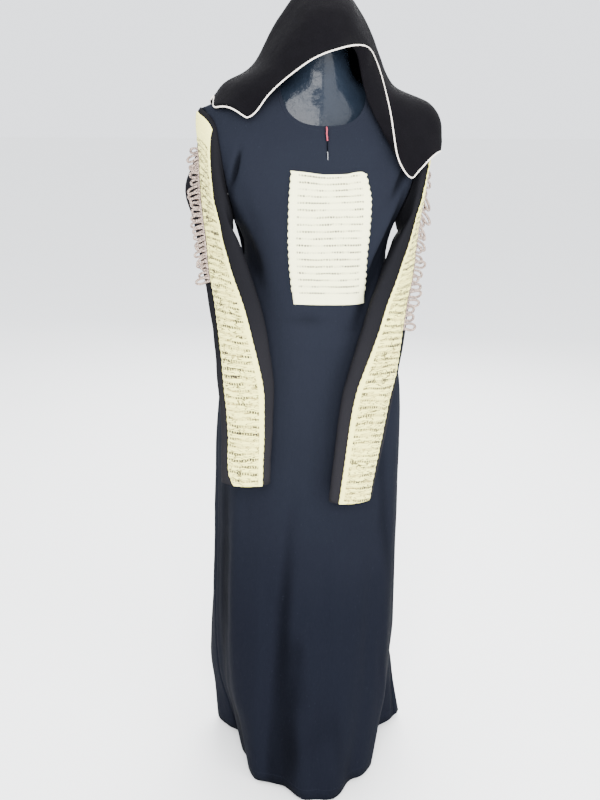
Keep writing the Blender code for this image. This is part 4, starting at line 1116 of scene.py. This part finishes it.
def lay_ribbed(name, points, directions, phases, shifts, gap, scallop, finish):
    """Ribbed cloth laid over points of what carries it; phases count its ribs, negative where it is plain."""
    last = len(points[0]) - 1

    def height(r, c):
        jitter = 1.0 + 0.6 * noise.noise(points[r][c] * 70.0)
        rib = rib_shape(phases[r] + shifts(r, c)) if phases[r] > 0.0 else 0.25
        return gap + BAND_CLOTH + RIB_HEIGHT * rib * jitter

    face = moved(points, directions, height)
    for r, line in enumerate(face):
        rib = rib_shape(phases[r]) if phases[r] > 0.0 else 0.5
        spread_out = (line[last] - line[0]).normalized() * (scallop * (rib - 0.5))
        line[0] -= spread_out
        line[last] += spread_out
    marks = {
        "rib": lambda r, c: phases[r] + shifts(r, c),
        "ribbed": lambda r, c: 1.0 if phases[r] > 0.0 else 0.0,
        "across": lambda r, c: c / last,
    }
    return lay_out(name, face, directions, BAND_CLOTH, finish, marks=marks)


def waver_of(points, size, depth, slant):
    """A slow waver of the ribs along the cloth, and their slant across it, in ribs."""
    last = len(points[0]) - 1
    return lambda r, c: depth * noise.noise(points[r][c] * size) + slant * c / last


bands = {}
for side, side_name in SIDES:
    phases = []

    def band_places(whole):
        ribs = int(round((whole - BAND_PLAIN) / RIB_PITCH))
        places = [BAND_START + (BAND_PLAIN - BAND_START) * step / BAND_PLAIN_STEPS
                  for step in range(BAND_PLAIN_STEPS)]
        phases.extend([-1.0] * BAND_PLAIN_STEPS)
        for step in range(ribs * RIB_STEPS + 1):
            places.append(BAND_PLAIN + (whole - BAND_PLAIN) * step / (ribs * RIB_STEPS))
            phases.append(step / RIB_STEPS + 0.0001)
        return places

    band_points, band_out = strip_on(*sleeve_faces[side], band_positions(side), band_places)
    bands[side] = lay_ribbed("band_" + side_name, band_points, band_out, phases,
                             waver_of(band_points, 24.0, 0.45, BAND_SLANT[side]), LAID_GAP, BAND_SCALLOP,
                             band_cotton)
    fit(bands[side], "cream_cloth", "sleeve_panel_" + side_name)


# The loop trim: thick twisted ivory cord sewn in loops along the outer edge of each band.
# The loops' roots are caught in a narrow woven tape; each loop stands out and sags a little, no two alike.
LOOP_PITCH = {RIGHT: 0.0105, LEFT: 0.0150}
LOOP_REACH = {RIGHT: 0.0200, LEFT: 0.0220}
LOOP_OPENING = {RIGHT: 0.0052, LEFT: 0.0082}
LOOP_DROP = 0.0045
LOOP_SINK = 0.0008
LOOP_RADIUS = {RIGHT: 0.0023, LEFT: 0.0025}
# The way a loop's cord goes: outwards in reaches, down in sags, then along the tape in metres and in openings.
LOOP_WAY = (
    (0.00, 0.00, 0.0, 0.00),
    (0.35, 0.10, -0.0006, 0.00),
    (0.80, 0.45, -0.0004, 0.00),
    (1.08, 0.85, 0.0, 0.35),
    (1.02, 1.25, 0.0, 0.90),
    (0.62, 0.95, 0.0, 1.15),
    (0.25, 0.30, 0.0, 1.00),
    (0.00, 0.00, 0.0, 1.00),
)
TAPE_WIDTH = 0.0044
TAPE_THICK = 0.0022
TAPE_BULGE = 0.0007
TAPE_SHARES = (0.0, 0.17, 0.33, 0.5, 0.67, 0.83, 1.0)
TRIM_SPAN = {RIGHT: (0.070, 0.318), LEFT: (0.107, 0.425)}

ivory_twist = Finish("ivory_twist", Sheen_Weight=0.15, Specular_IOR_Level=0.5)
# The strands: their dark colour is painted shadow between the strands of the twist; they also give its relief.
strand_and_shade = ivory_twist.grain(0.0016, 1.0)
shaded = ivory_twist.grain(0.012, 2.0)
ivory_twist.dress(strand_and_shade.rise(0.40, 0.66), (0.06, 0.035, 0.030), (0.52, 0.39, 0.31), 0.42 + shaded * 0.25,
                  strand_and_shade * 0.0006)

for side, side_name in SIDES:
    first, last = TRIM_SPAN[side]
    pitch = LOOP_PITCH[side]
    opening = LOOP_OPENING[side]
    count = int((last - first) / pitch)

    def trim_places(whole):
        return [first + (last - first) * step / (count * 2) for step in range(count * 2 + 1)]

    def trim_positions(length):
        edge = outer_edge(side, length)
        return [edge - FINE, edge]

    trim_points, trim_out = strip_on(*sleeve_faces[side], trim_positions, trim_places)
    tape = []
    roots = []
    for line, out_line in zip(trim_points, trim_out):
        outward = (line[0] - line[1]).normalized()
        off = out_line[1]
        near = line[1] + outward * 0.0012 + off * (LAID_GAP * 2.0 + TAPE_THICK)
        tape.append([near + outward * (TAPE_WIDTH * share) + off * (TAPE_BULGE * math.sin(math.pi * share))
                     for share in TAPE_SHARES])
        roots.append((near + outward * TAPE_WIDTH * 0.5 - off * 0.0009, outward, off))
    tape_out = [[out_line[1]] * len(TAPE_SHARES) for out_line in trim_out]
    tape_piece = lay_out("loop_tape_" + side_name, tape, tape_out, TAPE_THICK, ivory_twist)
    loop_paths = []
    for index in range(0, len(roots) - 2, 2):
        root, outward, normal = roots[index]
        below = roots[index + 2][0]
        down = (below - root).normalized()
        chance = noise.noise((index * 0.73, side * 2.1, 0.4))
        other = noise.noise((index * 0.51, side * 1.3, 7.4))
        away = normal * (0.62 + 0.25 * chance) + outward * (0.78 - 0.15 * chance) + down * other * 0.9
        away.normalize()
        reach = LOOP_REACH[side] * (0.94 + 0.40 * chance)
        sag = Vector((0.0, 0.0, -LOOP_DROP * (1.0 + 0.6 * chance)))
        start = root + down * (pitch - opening) / 2.0
        loop_paths.append([start + away * (reach * far if far > 0.0 else -LOOP_SINK) + sag * fall
                           + down * (metres + opening * openings) for far, fall, metres, openings in LOOP_WAY])
    loop_cords = cords("loop_cords_" + side_name, loop_paths, LOOP_RADIUS[side], ivory_twist, 1)
    fit(loop_cords, "ivory_cord", "loop_trim_" + side_name)
    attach(tape_piece, "root")


# The chest panel: the same cream cotton, gathered into eighteen ribs with dotted stitches between them.
# It is laid on the front below the slit and sewn down all round; its side edges are scalloped by the ribs.
CHEST_TOP_Z = 1.266
CHEST_FOOT_Z = 1.030
CHEST_FOOT_DIP = 0.0050
CHEST_RIBS = 18
CHEST_RIB_PITCH = 0.0123
CHEST_FIRST_RIB = 0.006
CHEST_GAP = 0.0010
CHEST_SCALLOP = 0.0024
CHEST_ROWS = 150
CHEST_COLUMNS = 44
# How far down the panel, with where its sides are there; and how far across it, with how low its top is there.
CHEST_SIDES = (
    (0.00, -0.0630, 0.0670),
    (0.25, -0.0668, 0.0766),
    (0.45, -0.0672, 0.0755),
    (0.70, -0.0636, 0.0735),
    (1.00, -0.0550, 0.0745),
)
CHEST_TOP = (
    (0.00, 0.0036), (0.20, 0.0060), (0.45, 0.0094), (0.72, 0.0090), (0.85, 0.0062), (0.93, 0.0056),
    (1.00, 0.0095),
)

chest_points = []
chest_out = []
chest_phases = []
for row in range(CHEST_ROWS + 1):
    share = row / CHEST_ROWS
    drop = (CHEST_TOP_Z - CHEST_FOOT_Z) * share
    chest_left = table_at(CHEST_SIDES, share, 1)
    chest_right = table_at(CHEST_SIDES, share, 2)
    spots = []
    for column in range(CHEST_COLUMNS + 1):
        over = column / CHEST_COLUMNS
        low = table_at(CHEST_TOP, over) * limited(1.0 - share * 4.0) + CHEST_FOOT_DIP * over * over * share ** 2
        spots.append(on_front(chest_left + (chest_right - chest_left) * over, CHEST_TOP_Z - drop - low))
    chest_points.append([place for place, out in spots])
    chest_out.append([out for place, out in spots])
    phase = 1.0 + (drop - CHEST_FIRST_RIB) / CHEST_RIB_PITCH
    chest_phases.append(phase if phase < CHEST_RIBS + 0.1 else -1.0)
# The chest panel's second colour stands for its soil and for painted shade in its grooves.
chest_cotton = ribbed_cotton("chest_cotton", (0.98, 0.97, 0.57), (0.66, 0.62, 0.34), (0.030, 0.027, 0.016),
                             (0.08, 0.89), 0.0)
chest = lay_ribbed("chest_cotton_panel", chest_points, chest_out, chest_phases,
                   waver_of(chest_points, 16.0, 0.12, 0.0), CHEST_GAP, CHEST_SCALLOP, chest_cotton)
fit(chest, "cream_cloth", "chest_panel")


# The hood with its short cape: matt black cotton in one piece, laid over the neck and shoulders.
# Its front edge is turned right back on the wearer's left; thin ivory piping is sewn all round its edge.
HOOD_CLOTH = 0.0014
HOOD_EDGE_TURN = math.radians(62.0)
PIPING_RADIUS = 0.0013
PIPING_GAP = 0.0004


def outer_sheet(node, seed):
    """The outer face of a packed wall as one open sheet, found from the face furthest along seed."""
    data = merged_copy(node)
    start = max(data.faces, key=lambda face: face.calc_center_median().dot(Vector(seed)))
    kept = {start}
    waiting = [start]
    while waiting:
        face = waiting.pop()
        for edge in face.edges:
            for other in edge.link_faces:
                if other not in kept and edge.calc_face_angle(0.0) < HOOD_EDGE_TURN:
                    kept.add(other)
                    waiting.append(other)
    bmesh.ops.delete(data, geom=[face for face in data.faces if face not in kept], context="FACES")
    pair_triangles(data, 50.0, 60.0)
    return data


hood_cotton = Finish("hood_cotton", Sheen_Weight=0.005, Sheen_Roughness=0.5, Specular_IOR_Level=0.05)
hood_knit = hood_cotton.grain(0.0009, 2.0)
hood_soft = hood_cotton.grain(0.018, 3.0)
hood_lint = hood_cotton.grain(0.0035, 0.0).rise(0.80, 0.83)
hood_cotton.dress(hood_soft * 0.6 + hood_lint * 0.4, (0.0012, 0.0010, 0.0016), (0.0030, 0.0026, 0.0038),
                  hood_knit * 0.14 + 0.76, hood_knit * 0.00025 + hood_soft * 0.0012)

hood_piece = soften(keep("hood_cloth", outer_sheet("hood", (0.0, 0.0, 1.0)), hood_cotton), 2)
settle(hood_piece, "rounding")
hood_mesh = bmesh.new()
hood_mesh.from_mesh(hood_piece.data)
rim = list(next(edge for edge in hood_mesh.edges if edge.is_boundary).verts)
while True:
    onward = next((edge.other_vert(rim[-1]) for edge in rim[-1].link_edges
                   if edge.is_boundary and edge.other_vert(rim[-1]) is not rim[-2]), None)
    if onward is None or onward is rim[0]:
        break
    rim.append(onward)
piping_path = []
for index, vert in enumerate(rim):
    before = rim[index - 2].co
    after = rim[(index + 2) % len(rim)].co
    along = (after - before).normalized()
    inward = sum((face.calc_center_median() - vert.co for face in vert.link_faces), Vector())
    inward = (inward - along * inward.dot(along)).normalized()
    piping_path.append(vert.co - inward * (PIPING_RADIUS + PIPING_GAP) - vert.normal * HOOD_CLOTH / 2.0)
for _ in range(2):
    onwards = piping_path[1:] + piping_path[:1]
    piping_path = [(piping_path[k - 1] + place * 2.0 + onwards[k]) / 4.0
                   for k, place in enumerate(piping_path)]
rim_set = set(rim)
for vert in hood_mesh.verts:
    if vert not in rim_set:
        soft = noise.noise(vert.co * 16.0) * 0.0022 + noise.noise(vert.co * 41.0) * 0.0008
        vert.co += vert.normal * soft
hood_mesh.to_mesh(hood_piece.data)
hood_mesh.free()
give_wall(hood_piece, HOOD_CLOTH)
fit(hood_piece, "hood_cloth", "hood")

piping_cord = Finish("piping_cord", Sheen_Weight=0.1, Specular_IOR_Level=0.5)
piping_twill = piping_cord.grain(0.0018, 1.0)
piping_cord.dress(piping_twill, (0.66, 0.58, 0.50), (0.88, 0.83, 0.77), 0.50 + piping_twill * 0.15,
                  piping_twill * 0.00035)
piping = cords("piping", [piping_path], PIPING_RADIUS, piping_cord, 2, closed=True)
piping.data.resolution_u = 2
fit(piping, "ivory_cord", "hood_piping")
